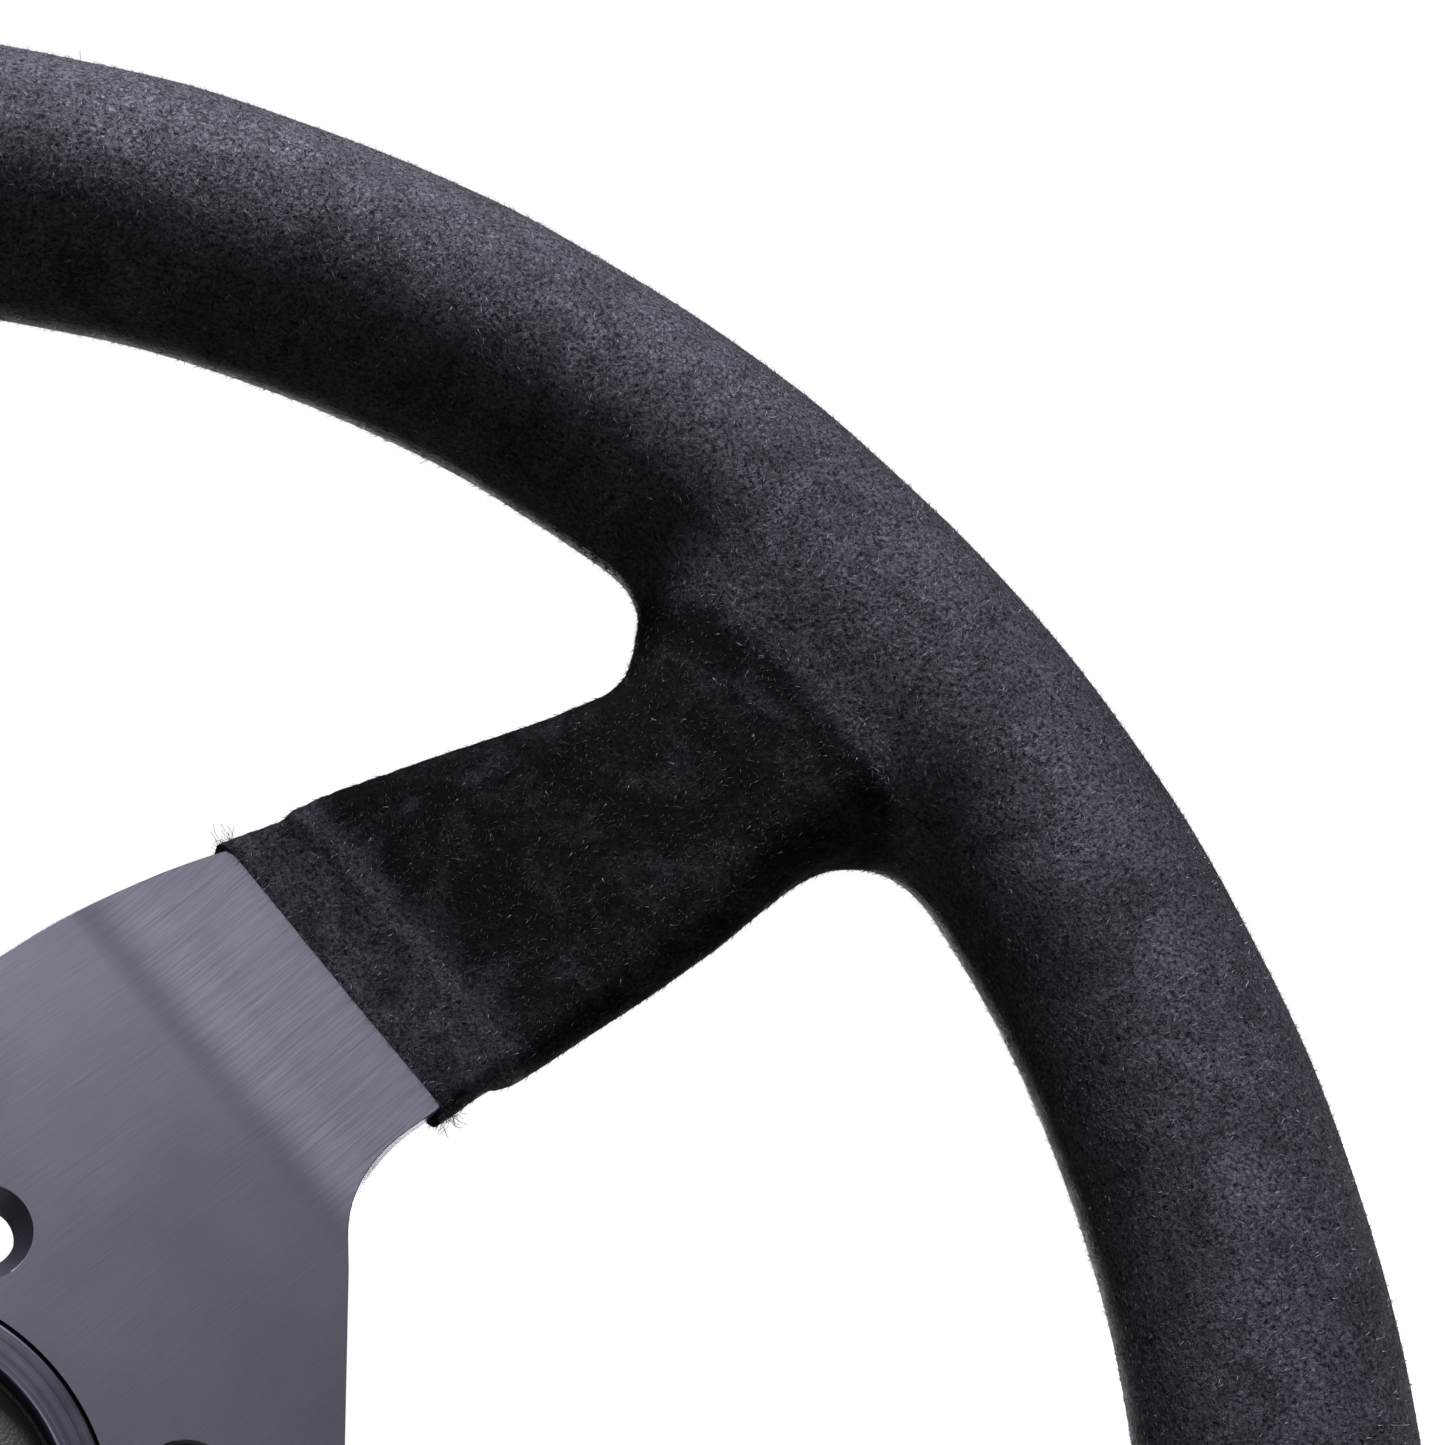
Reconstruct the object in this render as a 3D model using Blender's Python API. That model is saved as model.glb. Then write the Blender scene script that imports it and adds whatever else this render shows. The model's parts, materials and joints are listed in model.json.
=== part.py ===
"""Three-spoke suede steering wheel on the wheel side of a ball-lock quick release.

The wheel stands upright. X points to the driver's right, Z to 12 o'clock and Y to the
steering column, so the driver looks along +Y. The origin is the middle of the quick
release's rear face, on the steering axis. Lengths are in metres.
"""

import math

import bmesh
import bpy
from mathutils import Matrix, Vector

# Driving dimensions of the wheel
RIM_DIAMETER = 0.320
GRIP_RADIAL = 0.0292  # thickness of the grip, measured towards the hub
GRIP_AXIAL = 0.0330  # thickness of the grip, measured along the steering axis
DISH = 0.0319  # from the plate's front face forward to the rim's middle plane
PLATE_T = 0.004
PLATE_EDGE_R = 0.0009
BOLT_CIRCLE_R = 0.035
BOLT_HOLE_R = 0.0033
COUNTERSINK_R = 0.0052
BORE_R = 0.0275
SUEDE_T = 0.0012
GAP = 0.0003

# Where the parts stand along the steering axis
HUB_FRONT = -0.050
PLATE_BACK = HUB_FRONT - GAP
PLATE_FRONT = PLATE_BACK - PLATE_T
PLATE_MID = PLATE_BACK - PLATE_T / 2
RIM_Y = PLATE_FRONT - DISH

# Rim core, a flat ring that the three spokes are riveted to
RIM_R = (RIM_DIAMETER - GRIP_RADIAL) / 2
CORE_WIDTH = 0.012
CORE_T = 0.006
TIP_MID = RIM_Y + CORE_T / 2 + GAP + PLATE_T / 2
RIVET_R = 0.0022
RIVET_HEAD_R = 0.0040
RIVET_HEAD_T = 0.0015
RIVET_HALF_PITCH = 0.0055

# How the spokes rise from the hub's plane to the rim
RISE_START = 0.064
RISE_END = 0.126
RISE_BLEND = 0.005
BEND_STRIPS = 5
ARM_END = 0.150
TIP_HALF = 0.010
ARM_ROOM_HALF = 0.0134  # half the room left across a spoke's tip in the foam and the suede

# Padding and suede on the spokes
SLEEVE_START = 0.0765
PAD_START = 0.0843
SLEEVE_END = 0.138

# Quick release
TUBE_R = 0.0207
SOCKET_R = 0.015
HUB_STEP_R = 0.029
HUB_STEP_Y = -0.040
CUP_ROOM_R = 0.0261
CUP_ROOM_Y = -0.042
FLANGE_T = 0.006
LOBE_R = 0.008
SCREW_R = 0.00245
SCREW_ANGLES = (90, 210, 330)
BALL_R = 0.004
BALL_COUNT = 6
BALL_Y = -0.016
BALL_CENTRE_R = 0.0172
COLLAR_FRONT = -0.0334
COLLAR_REAR = -0.006
COLLAR_R = 0.029
COLLAR_LIP_R = 0.033
RAMP_SLOPE = 0.35  # a lock ball's outward travel per length of collar travel

RIM_STEPS = 48
SECTION_STEPS = 12
TURN_STEPS = 36


def material(name, colour, roughness, metallic):
    """A Principled material with one colour."""
    made = bpy.data.materials.new(name)
    made.use_nodes = True
    shader = made.node_tree.nodes["Principled BSDF"]
    shader.inputs["Base Color"].default_value = (*colour, 1.0)
    shader.inputs["Roughness"].default_value = roughness
    shader.inputs["Metallic"].default_value = metallic
    return made


def add_object(name, mesh, finish, smooth_deg=35):
    """Link a mesh as an object, shaded smooth up to the given edge angle."""
    mesh.shade_smooth()
    mesh.set_sharp_from_angle(angle=math.radians(smooth_deg))
    made = bpy.data.objects.new(name, mesh)
    if finish is not None:
        mesh.materials.append(finish)
    bpy.context.scene.collection.objects.link(made)
    return made


def to_mesh(name, bm):
    """Close a bmesh off as a mesh with its faces pointing out."""
    bmesh.ops.recalc_face_normals(bm, faces=bm.faces)
    mesh = bpy.data.meshes.new(name)
    bm.to_mesh(mesh)
    bm.free()
    return mesh


def turned(name, outline, finish=None, steps=TURN_STEPS, sweep=360):
    """Turn an outline of (radius, depth) points about the steering axis.

    An outline whose ends lie on the axis makes a solid piece, any other one is closed
    first and makes a ring. A sweep under 360 degrees leaves the ring split.
    """
    bm = bmesh.new()
    points = [bm.verts.new((r, y, 0)) for r, y in outline]
    edges = [bm.edges.new(pair) for pair in zip(points, points[1:])]
    if outline[0][0] > 0:
        edges.append(bm.edges.new((points[-1], points[0])))
    bmesh.ops.spin(
        bm,
        geom=points + edges,
        cent=(0, 0, 0),
        axis=(0, 1, 0),
        angle=math.radians(sweep),
        steps=steps,
    )
    bmesh.ops.remove_doubles(bm, verts=bm.verts, dist=1e-6)
    if sweep < 360:
        bmesh.ops.holes_fill(bm, edges=[e for e in bm.edges if e.is_boundary])
    return add_object(name, to_mesh(name, bm), finish)


def rounded_outline(corners, arc_step_deg=15):
    """Points of a closed outline whose corners are (x, z, fillet radius)."""
    points = []
    count = len(corners)
    for i, (x, z, radius) in enumerate(corners):
        corner = Vector((x, z))
        if radius == 0:
            points.append(corner)
            continue
        before = (Vector(corners[i - 1][:2]) - corner).normalized()
        after = (Vector(corners[(i + 1) % count][:2]) - corner).normalized()
        half = before.angle(after) / 2
        centre = corner + (before + after).normalized() * (radius / math.sin(half))
        first = corner + before * (radius / math.tan(half)) - centre
        turn = math.pi - 2 * half
        side = 1 if before.x * after.y - before.y * after.x < 0 else -1
        steps = max(2, round(math.degrees(turn) / arc_step_deg))
        for k in range(steps + 1):
            angle = side * turn * k / steps
            cosine, sine = math.cos(angle), math.sin(angle)
            arm = Vector((first.x * cosine - first.y * sine, first.x * sine + first.y * cosine))
            points.append(centre + arm)
    return points


def prism(name, outline, front, back, finish=None):
    """Extrude an outline of (x, z) points between two depths."""
    bm = bmesh.new()
    face = bm.faces.new([bm.verts.new((p[0], front, p[1])) for p in outline])
    grown = bmesh.ops.extrude_face_region(bm, geom=[face])["geom"]
    moved = [g for g in grown if isinstance(g, bmesh.types.BMVert)]
    bmesh.ops.translate(bm, verts=moved, vec=(0, back - front, 0))
    return add_object(name, to_mesh(name, bm), finish)


def box(name, low, high):
    """A box between two corners, used to cut with."""
    outline = [(low[0], low[2]), (high[0], low[2]), (high[0], high[2]), (low[0], high[2])]
    return prism(name, outline, low[1], high[1])


def cut(target, *cutters):
    """Subtract closed cutters from an object with Boolean modifiers."""
    for cutter in cutters:
        modifier = target.modifiers.new("cut", "BOOLEAN")
        modifier.operation = "DIFFERENCE"
        modifier.object = cutter
        hide(cutter)


def join(target, other):
    """Unite an object with another one, which becomes a hidden guide."""
    modifier = target.modifiers.new("join", "BOOLEAN")
    modifier.operation = "UNION"
    modifier.object = other
    hide(other)


def hide(guide):
    """Mark an object as a cutter or guide and not a part."""
    guide.hide_render = True
    guide.display_type = "WIRE"


def at_angle(radius, degrees):
    """A point of the wheel's plane, with 0 degrees at the right and 90 at the top."""
    return radius * math.cos(math.radians(degrees)), radius * math.sin(math.radians(degrees))


def ellipse_ring(name, grow, finish=None):
    """The rim's grip section, grown or shrunk by a thickness, turned into a ring."""
    outline = []
    for k in range(SECTION_STEPS):
        angle = 2 * math.pi * k / SECTION_STEPS
        radius = RIM_R + (GRIP_RADIAL / 2 + grow) * math.cos(angle)
        outline.append((radius, RIM_Y + (GRIP_AXIAL / 2 + grow) * math.sin(angle)))
    return turned(name, outline, finish, steps=RIM_STEPS)


# The spokes. Along a spoke, u runs outwards from the steering axis and v runs across it.
# An arm gives its name, how (u, v) turn into (x, z), and its two edges as (u, v) corners.
SIDE_UPPER = [(0.0645, 0.0416), (0.084, 0.0332), (0.115, 0.0195), (0.128, 0.0130), (ARM_END, TIP_HALF)]
SIDE_LOWER = [(0.0662, -0.0012), (0.084, -0.0030), (0.128, -0.0085), (ARM_END, -TIP_HALF)]
DOWN_EDGE = [(0.0547, 0.0208), (0.084, 0.0182), (0.128, 0.0120), (ARM_END, TIP_HALF)]

ARMS = {
    "right": (lambda u, v: (u, v), SIDE_UPPER, SIDE_LOWER),
    "left": (lambda u, v: (-u, v), SIDE_UPPER, SIDE_LOWER),
    "bottom": (lambda u, v: (v, -u), DOWN_EDGE, [(u, -v) for u, v in DOWN_EDGE]),
}
ARM_ANGLES = {"right": 0, "left": 180, "bottom": 270}


def edge_at(edge, u):
    """Where an arm's edge lies across the arm, at a distance u along it."""
    for (u0, v0), (u1, v1) in zip(edge, edge[1:]):
        if u <= u1:
            return v0 + (v1 - v0) * (u - u0) / (u1 - u0)
    return edge[-1][1]


def ramp(u, start):
    """Zero before start and u - start after it, with a round blend between them."""
    past = u - start + RISE_BLEND
    if past <= 0:
        return 0.0, 0.0
    if past >= 2 * RISE_BLEND:
        return u - start, 1.0
    return past**2 / (4 * RISE_BLEND), past / (2 * RISE_BLEND)


def on_arm(u, forward):
    """Bend a point of a flat arm: its distance along the arm and its depth.

    forward is the point's height over the arm's middle plane, towards the driver.
    """
    slope = (PLATE_MID - TIP_MID) / (RISE_END - RISE_START)
    first, first_slope = ramp(u, RISE_START)
    second, second_slope = ramp(u, RISE_END)
    angle = math.atan(slope * (first_slope - second_slope))
    depth = PLATE_MID - slope * (first - second)
    return u - forward * math.sin(angle), depth - forward * math.cos(angle)


def plate_corners():
    """The corners of the spoke plate's outline, with their fillet radii."""
    upper_r = (0.050, 0.060, 0.060, 0.006, 0)
    lower_r = (0.014, 0.060, 0.030, 0)
    down_r = (0.014, 0.060, 0.030, 0)
    right = [(u, v, r) for (u, v), r in zip(SIDE_UPPER, upper_r)]
    right += [(u, v, r) for (u, v), r in reversed(list(zip(SIDE_LOWER, lower_r)))]
    right += [(v, -u, r) for (u, v), r in zip(DOWN_EDGE, down_r)]
    left = [(-x, z, r) for x, z, r in reversed(right)]
    return [(0, 0.0430, 0.400)] + right + left


def bend_lines(start):
    """Where the strips of a bend begin and end, as distances along an arm."""
    return [start - RISE_BLEND + 2 * RISE_BLEND * k / BEND_STRIPS for k in range(BEND_STRIPS + 1)]


def bent_plate(name, finish):
    """The flat plate's outline, cut into strips where it bends, thickened and bent."""
    bm = bmesh.new()
    outline = rounded_outline(plate_corners())
    bm.faces.new([bm.verts.new((p.x, 0, p.y)) for p in outline])
    for u in bend_lines(RISE_START) + bend_lines(RISE_END):
        cuts = (((u, 0, 0), (1, 0, 0)), ((-u, 0, 0), (1, 0, 0)), ((0, 0, -u), (0, 0, 1)))
        for place, normal in cuts:
            geom = bm.verts[:] + bm.edges[:] + bm.faces[:]
            bmesh.ops.bisect_plane(bm, geom=geom, dist=1e-7, plane_co=place, plane_no=normal)
    grown = bmesh.ops.extrude_face_region(bm, geom=bm.faces[:])["geom"]
    front = {g for g in grown if isinstance(g, bmesh.types.BMVert)}
    for vert in bm.verts:
        forward = PLATE_T / 2 if vert in front else -PLATE_T / 2
        side_arm = abs(vert.co.x) > RISE_START - RISE_BLEND
        u = abs(vert.co.x) if side_arm else max(0.0, -vert.co.z)
        along, depth = on_arm(u, forward)
        if side_arm:
            vert.co.x = math.copysign(along, vert.co.x)
        elif u > RISE_START - RISE_BLEND:
            vert.co.z = -along
        vert.co.y = depth
    plate = add_object(name, to_mesh(name, bm), finish)
    edge = plate.modifiers.new("edge", "BEVEL")
    edge.width = PLATE_EDGE_R
    edge.segments = 2
    edge.limit_method = "ANGLE"
    edge.angle_limit = math.radians(50)
    return plate


def countersunk_cutter(name, angle):
    """A cutter for one countersunk bolt hole in the plate."""
    sink = COUNTERSINK_R - BOLT_HOLE_R
    outline = [
        (0, PLATE_FRONT - 0.002),
        (COUNTERSINK_R, PLATE_FRONT - 0.002),
        (COUNTERSINK_R, PLATE_FRONT),
        (BOLT_HOLE_R, PLATE_FRONT + sink),
        (BOLT_HOLE_R, PLATE_BACK + 0.002),
        (0, PLATE_BACK + 0.002),
    ]
    cutter = turned(name, outline, steps=18)
    x, z = at_angle(BOLT_CIRCLE_R, angle)
    cutter.location = (x, 0, z)
    return cutter


def rod(name, radius, front, back, steps=16):
    """A plain round cutter along the steering axis."""
    return turned(name, [(0, front), (radius, front), (radius, back), (0, back)], steps=steps)


def rivet_places():
    """Each rivet's x and z, two to an arm."""
    half = math.degrees(math.asin(RIVET_HALF_PITCH / RIM_R))
    for angle in ARM_ANGLES.values():
        for side in (-1, 1):
            yield at_angle(RIM_R, angle + side * half)


def rivet_cutters(group):
    """Round cutters for the rivet holes."""
    cutters = []
    for k, (x, z) in enumerate(rivet_places()):
        cutter = rod(f"{group}_{k}", RIVET_R + GAP, RIM_Y - 0.008, TIP_MID + 0.006, steps=10)
        cutter.location = (x, 0, z)
        cutters.append(cutter)
    return cutters


def make_skeleton(finish_plate, finish_core, finish_rivet):
    """Spoke plate, rim core and the rivets that join them."""
    plate = bent_plate("spoke_plate", finish_plate)
    cut(plate, rod("cut_bore", BORE_R, PLATE_FRONT - 0.003, PLATE_BACK + 0.003, steps=48))
    cut(plate, *[countersunk_cutter(f"cut_bolt_{a}", a) for a in range(30, 390, 60)])
    cut(plate, *rivet_cutters("cut_tip_rivet"))

    inner, outer = RIM_R - CORE_WIDTH / 2, RIM_R + CORE_WIDTH / 2
    front, back = RIM_Y - CORE_T / 2, RIM_Y + CORE_T / 2
    section = [(inner, front), (outer, front), (outer, back), (inner, back)]
    core = turned("rim_core", section, finish_core, steps=RIM_STEPS)
    cut(core, *rivet_cutters("cut_core_rivet"))

    head_front = front - GAP
    head_back = TIP_MID + PLATE_T / 2 + GAP
    outline = [
        (0, head_front - RIVET_HEAD_T),
        (RIVET_HEAD_R * 0.7, head_front - RIVET_HEAD_T * 0.8),
        (RIVET_HEAD_R, head_front),
        (RIVET_R, head_front),
        (RIVET_R, head_back),
        (RIVET_HEAD_R, head_back),
        (RIVET_HEAD_R * 0.7, head_back + RIVET_HEAD_T * 0.8),
        (0, head_back + RIVET_HEAD_T),
    ]
    for k, (x, z) in enumerate(rivet_places(), start=1):
        rivet = turned(f"spoke_rivet_{k}", outline, finish_rivet, steps=10)
        rivet.location = (x, 0, z)


def arm_box(name, arm, u_range, v_range, y_range):
    """A box cutter laid along an arm."""
    to_xz = ARMS[arm][0]
    xs, zs = zip(to_xz(u_range[0], v_range[0]), to_xz(u_range[1], v_range[1]))
    return box(name, (min(xs), y_range[0], min(zs)), (max(xs), y_range[1], max(zs)))


def make_rim(finish_foam, finish_suede):
    """Moulded foam round the core, and the suede wrapped over it."""
    foam = ellipse_ring("rim_foam", -SUEDE_T - GAP, finish_foam)
    inner, outer = RIM_R - CORE_WIDTH / 2 - GAP, RIM_R + CORE_WIDTH / 2 + GAP
    front, back = RIM_Y - CORE_T / 2 - GAP, RIM_Y + CORE_T / 2 + GAP
    section = [(inner, front), (outer, front), (outer, back), (inner, back)]
    cut(foam, turned("cut_core_room", section, steps=RIM_STEPS))
    head_room = RIVET_HEAD_T + 3 * GAP
    rooms = (RIM_Y - CORE_T / 2 - head_room, TIP_MID + PLATE_T / 2 + head_room)
    side_arm_room = (-TIP_HALF - 0.0014, ARM_ROOM_HALF)
    for arm in ARMS:
        wide = (-ARM_ROOM_HALF, ARM_ROOM_HALF) if arm == "bottom" else side_arm_room
        cut(foam, arm_box(f"cut_room_{arm}", arm, (0.120, outer), wide, rooms))

    cover = ellipse_ring("rim_cover", 0, finish_suede)
    cut(cover, ellipse_ring("cut_cover", -SUEDE_T))
    slot = (TIP_MID - PLATE_T / 2 - 2 * GAP, TIP_MID + PLATE_T / 2 + 2 * GAP)
    for arm in ARMS:
        wide = (-ARM_ROOM_HALF, ARM_ROOM_HALF) if arm == "bottom" else side_arm_room
        cut(cover, arm_box(f"cut_slot_{arm}", arm, (0.120, 0.140), wide, slot))


def section_loop(low, high, front, back, corner):
    """A rounded box section across an arm, three points to a corner, as (v, forward)."""
    loop = []
    middles = ((high - corner, front - corner), (low + corner, front - corner))
    middles += ((low + corner, -back + corner), (high - corner, -back + corner))
    for quarter, (v, forward) in enumerate(middles):
        for k in range(3):
            angle = math.radians(90 * quarter + 45 * k)
            loop.append((v + corner * math.cos(angle), forward + corner * math.sin(angle)))
    return loop


def arm_shell(name, arm, outside, inside, finish):
    """A sleeve round an arm, between an outer and an inner row of sections.

    A section is (u, clearance past the arm's edges, front half, back half, corner).
    """
    to_xz, upper, lower = ARMS[arm]
    bm = bmesh.new()

    def skin(sections):
        loops = []
        for u, past, front, back, corner in sections:
            high, low = edge_at(upper, u) + past, edge_at(lower, u) - past
            loop = []
            for v, forward in section_loop(low, high, front, back, corner):
                along, depth = on_arm(u, forward)
                x, z = to_xz(along, v)
                loop.append(bm.verts.new((x, depth, z)))
            loops.append(loop)
        for first, second in zip(loops, loops[1:]):
            wrap(first, second)
        return loops

    def wrap(first, second):
        for k in range(len(first)):
            after = (k + 1) % len(first)
            bm.faces.new((first[k], first[after], second[after], second[k]))

    outer, inner = skin(outside), skin(inside)
    wrap(outer[0], inner[0])
    wrap(outer[-1], inner[-1])
    return add_object(name, to_mesh(name, bm), finish)


def make_spoke_covers(finish_foam, finish_suede):
    """Foam padding on each spoke, and the suede sleeve over it."""
    half = PLATE_T / 2
    slot = half + GAP
    stations = [PAD_START, 0.100, *bend_lines(RISE_END), SLEEVE_END]
    arm_slot = [(u, GAP, slot, slot, 0.0001) for u in stations]
    pad = [
        (PAD_START, 0.0015, half + 0.0016, half + 0.0016, 0.0012),
        (0.100, 0.0017, half + 0.0026, half + 0.0022, 0.0022),
        (0.115, 0.0022, half + 0.0046, half + 0.0034, 0.0034),
        (0.128, 0.0040, half + 0.0090, half + 0.0052, 0.0050),
        (SLEEVE_END, 0.0040, half + 0.0090, half + 0.0030, 0.0040),
    ]
    step = PAD_START - 2 * GAP
    over = SUEDE_T + GAP
    covered = [(u, p + over, f + over, b + over, c + 0.0008) for u, p, f, b, c in pad]
    lined = [(u, p + GAP, f + GAP, b + GAP, c) for u, p, f, b, c in pad]
    thin_part = (SLEEVE_START, 0.080, step)
    outside = [(u, over, half + over, half + over, 0.0008) for u in thin_part] + covered
    inside = [(u, GAP, slot, slot, 0.0001) for u in thin_part]
    inside += [(PAD_START - GAP, *lined[0][1:])] + lined[1:]
    for arm in ARMS:
        padding = arm_shell(f"spoke_pad_{arm}", arm, pad, arm_slot, finish_foam)
        cut(padding, ellipse_ring(f"cut_pad_{arm}", GAP))
        sleeve = arm_shell(f"spoke_sleeve_{arm}", arm, outside, inside, finish_suede)
        cut(sleeve, ellipse_ring(f"cut_sleeve_{arm}", GAP))


def helix(name, radius, wire_r, front, back, turns, finish, per_turn=12):
    """A coil spring about the steering axis, as a bevelled curve."""
    curve = bpy.data.curves.new(name, "CURVE")
    curve.dimensions = "3D"
    curve.bevel_depth = wire_r
    curve.bevel_resolution = 1
    curve.use_fill_caps = True
    spline = curve.splines.new("POLY")
    count = round(turns * per_turn)
    spline.points.add(count)
    for k, point in enumerate(spline.points):
        share = k / count
        angle = 2 * math.pi * turns * share
        depth = front + wire_r + (back - front - 2 * wire_r) * share
        point.co = (radius * math.cos(angle), depth, radius * math.sin(angle), 1)
    curve.materials.append(finish)
    spring = bpy.data.objects.new(name, curve)
    bpy.context.scene.collection.objects.link(spring)
    return spring


def make_horn(finish_bezel, finish_cap, finish_cup, finish_brass, finish_steel):
    """Bezel, push cap, cup, spring and contacts of the horn button."""
    cap_face = PLATE_FRONT + 0.003
    turned(
        "horn_bezel",
        [
            (0.0232, PLATE_FRONT + 0.0004),
            (0.0236, PLATE_FRONT),
            (BORE_R - GAP - 0.0003, PLATE_FRONT),
            (BORE_R - GAP, PLATE_FRONT + 0.0003),
            (BORE_R - GAP, PLATE_BACK),
            (0.0232, PLATE_BACK),
        ],
        finish_bezel,
        steps=48,
    )
    turned(
        "horn_cap",
        [
            (0, cap_face),
            (0.0222, cap_face + 0.0003),
            (0.0229, cap_face + 0.0010),
            (0.0229, PLATE_BACK + 0.0005),
            (0.0243, PLATE_BACK + 0.0005),
            (0.0243, PLATE_BACK + 0.0015),
            (0.0212, PLATE_BACK + 0.0015),
            (0.0212, cap_face + 0.0018),
            (0, cap_face + 0.0018),
        ],
        finish_cap,
    )
    disc_front = cap_face + 0.0018 + GAP
    disc = [(0.0095, disc_front), (0.013, disc_front), (0.013, disc_front + 0.0005)]
    turned("horn_contact_disc", disc + [(0.0095, disc_front + 0.0005)], finish_brass, steps=24)
    cup_back = CUP_ROOM_Y - GAP
    floor = cup_back - 0.0015
    cup = turned(
        "horn_cup",
        [
            (0.0035, floor),
            (0.018, floor),
            (0.018, floor - 0.0023),
            (0.0246, floor - 0.0023),
            (0.0246, HUB_FRONT),
            (0.0258, HUB_FRONT),
            (0.0258, cup_back),
            (0.0035, cup_back),
        ],
        finish_cup,
        steps=28,
    )
    terminal_x = 0.0112
    pin_front = disc_front + 0.0028
    pin = [(0, pin_front), (0.0009, pin_front), (0.0012, pin_front + 0.0003)]
    pin += [(0.0012, cup_back), (0, cup_back)]
    for k, x in enumerate((-terminal_x, terminal_x), start=1):
        hole = rod(f"cut_terminal_{k}", 0.0015, floor - 0.001, cup_back + 0.001, steps=12)
        hole.location = (x, 0, 0)
        cut(cup, hole)
        terminal = turned(f"horn_terminal_{k}", pin, finish_brass, steps=12)
        terminal.location = (x, 0, 0)
    helix("horn_spring", 0.0065, 0.00045, cap_face + 0.0018 + GAP, floor - GAP, 3.0, finish_steel)


def hub_outline():
    """The turned part of the quick release hub, as (radius, depth) points."""
    return [
        (0.005, CUP_ROOM_Y),
        (CUP_ROOM_R, CUP_ROOM_Y),
        (CUP_ROOM_R, HUB_FRONT),
        (HUB_STEP_R, HUB_FRONT),
        (HUB_STEP_R, HUB_STEP_Y - 0.001),
        (HUB_STEP_R - 0.001, HUB_STEP_Y),
        (TUBE_R, HUB_STEP_Y),
        (TUBE_R, -0.0059),
        (TUBE_R - 0.0011, -0.0059),
        (TUBE_R - 0.0011, -0.0043),
        (TUBE_R, -0.0043),
        (TUBE_R, -0.0008),
        (TUBE_R - 0.0008, 0),
        (0.0165, 0),
        (SOCKET_R, -0.0015),
        (SOCKET_R, -0.0030),
        (0.0164, -0.0030),
        (0.0164, -0.0060),
        (SOCKET_R, -0.0060),
        (SOCKET_R, -0.0220),
        (0.0162, -0.0220),
        (0.0162, -0.0234),
        (SOCKET_R, -0.0234),
        (SOCKET_R, HUB_STEP_Y),
        (0.005, HUB_STEP_Y),
    ]


def ball_pocket(name, angle):
    """A radial cutter for one lock ball's hole, with the lip that keeps the ball in."""
    outline = [
        (0, 0.0140),
        (0.0038, 0.0140),
        (0.0038, 0.0152),
        (BALL_R + GAP, 0.0163),
        (BALL_R + GAP, TUBE_R + 0.003),
        (0, TUBE_R + 0.003),
    ]
    cutter = turned(name, outline, steps=12)
    cutter.matrix_world = radial_frame(angle)
    return cutter


def radial_frame(angle):
    """The place of a piece whose own Y axis should point outwards at an angle."""
    turn = Matrix.Rotation(math.radians(-angle), 4, "Y") @ Matrix.Rotation(math.radians(-90), 4, "Z")
    return Matrix.Translation((0, BALL_Y, 0)) @ turn


def make_hub(finish_hub, finish_insert, finish_clip, finish_seal):
    """Hub with its flange, and what sits in its socket."""
    hub = turned("release_hub", hub_outline(), finish_hub)
    corner = BOLT_CIRCLE_R + LOBE_R / math.sin(math.radians(30))
    corners = [(*at_angle(corner, a), LOBE_R) for a in SCREW_ANGLES]
    flange = prism("guide_flange", rounded_outline(corners), HUB_FRONT, HUB_FRONT + FLANGE_T)
    cut(flange, rod("cut_flange", CUP_ROOM_R, HUB_FRONT - 0.002, HUB_FRONT + 0.010, steps=48))
    join(hub, flange)
    for angle in SCREW_ANGLES:
        hole = rod(f"cut_flange_{angle}", SCREW_R + GAP, HUB_FRONT - 0.002, HUB_FRONT + 0.010)
        x, z = at_angle(BOLT_CIRCLE_R, angle)
        hole.location = (x, 0, z)
        cut(hub, hole)
    for k in range(BALL_COUNT):
        cut(hub, ball_pocket(f"cut_ball_{k + 1}", 360 * k / BALL_COUNT))
    make_spline_insert("spline_insert", finish_insert)
    clip = [(0.0134, -0.0231), (0.0159, -0.0231), (0.0159, -0.0223), (0.0134, -0.0223)]
    turned("insert_circlip", clip, finish_clip, steps=24, sweep=325)
    ring = []
    for k in range(6):
        angle = math.radians(60 * k)
        ring.append((0.01535 + 0.00075 * math.cos(angle), -0.0045 + 0.00075 * math.sin(angle)))
    turned("socket_seal", ring, finish_seal, steps=24)


def make_spline_insert(name, finish):
    """A ring with teeth inside, which turns the splined column shaft."""
    teeth = 18
    root_r, tip_r, outer_r = 0.0134, 0.0124, SOCKET_R - GAP
    shares = (0.0, 0.30, 0.50, 0.80)
    radii = (root_r, root_r, tip_r, tip_r)
    inner, outer = [], []
    for k in range(teeth):
        for share, radius in zip(shares, radii):
            degrees = 360 * (k + share) / teeth
            inner.append(at_angle(radius, degrees))
            outer.append(at_angle(outer_r, degrees))
    bm = bmesh.new()
    front, back = HUB_STEP_Y + GAP, -0.0237
    loops = []
    for line, y in ((inner, front), (outer, front), (outer, back), (inner, back)):
        loops.append([bm.verts.new((x, y, z)) for x, z in line])
    for first, second in zip(loops, loops[1:] + loops[:1]):
        for k in range(len(inner)):
            after = (k + 1) % len(inner)
            bm.faces.new((first[k], first[after], second[after], second[k]))
    return add_object(name, to_mesh(name, bm), finish)


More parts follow.
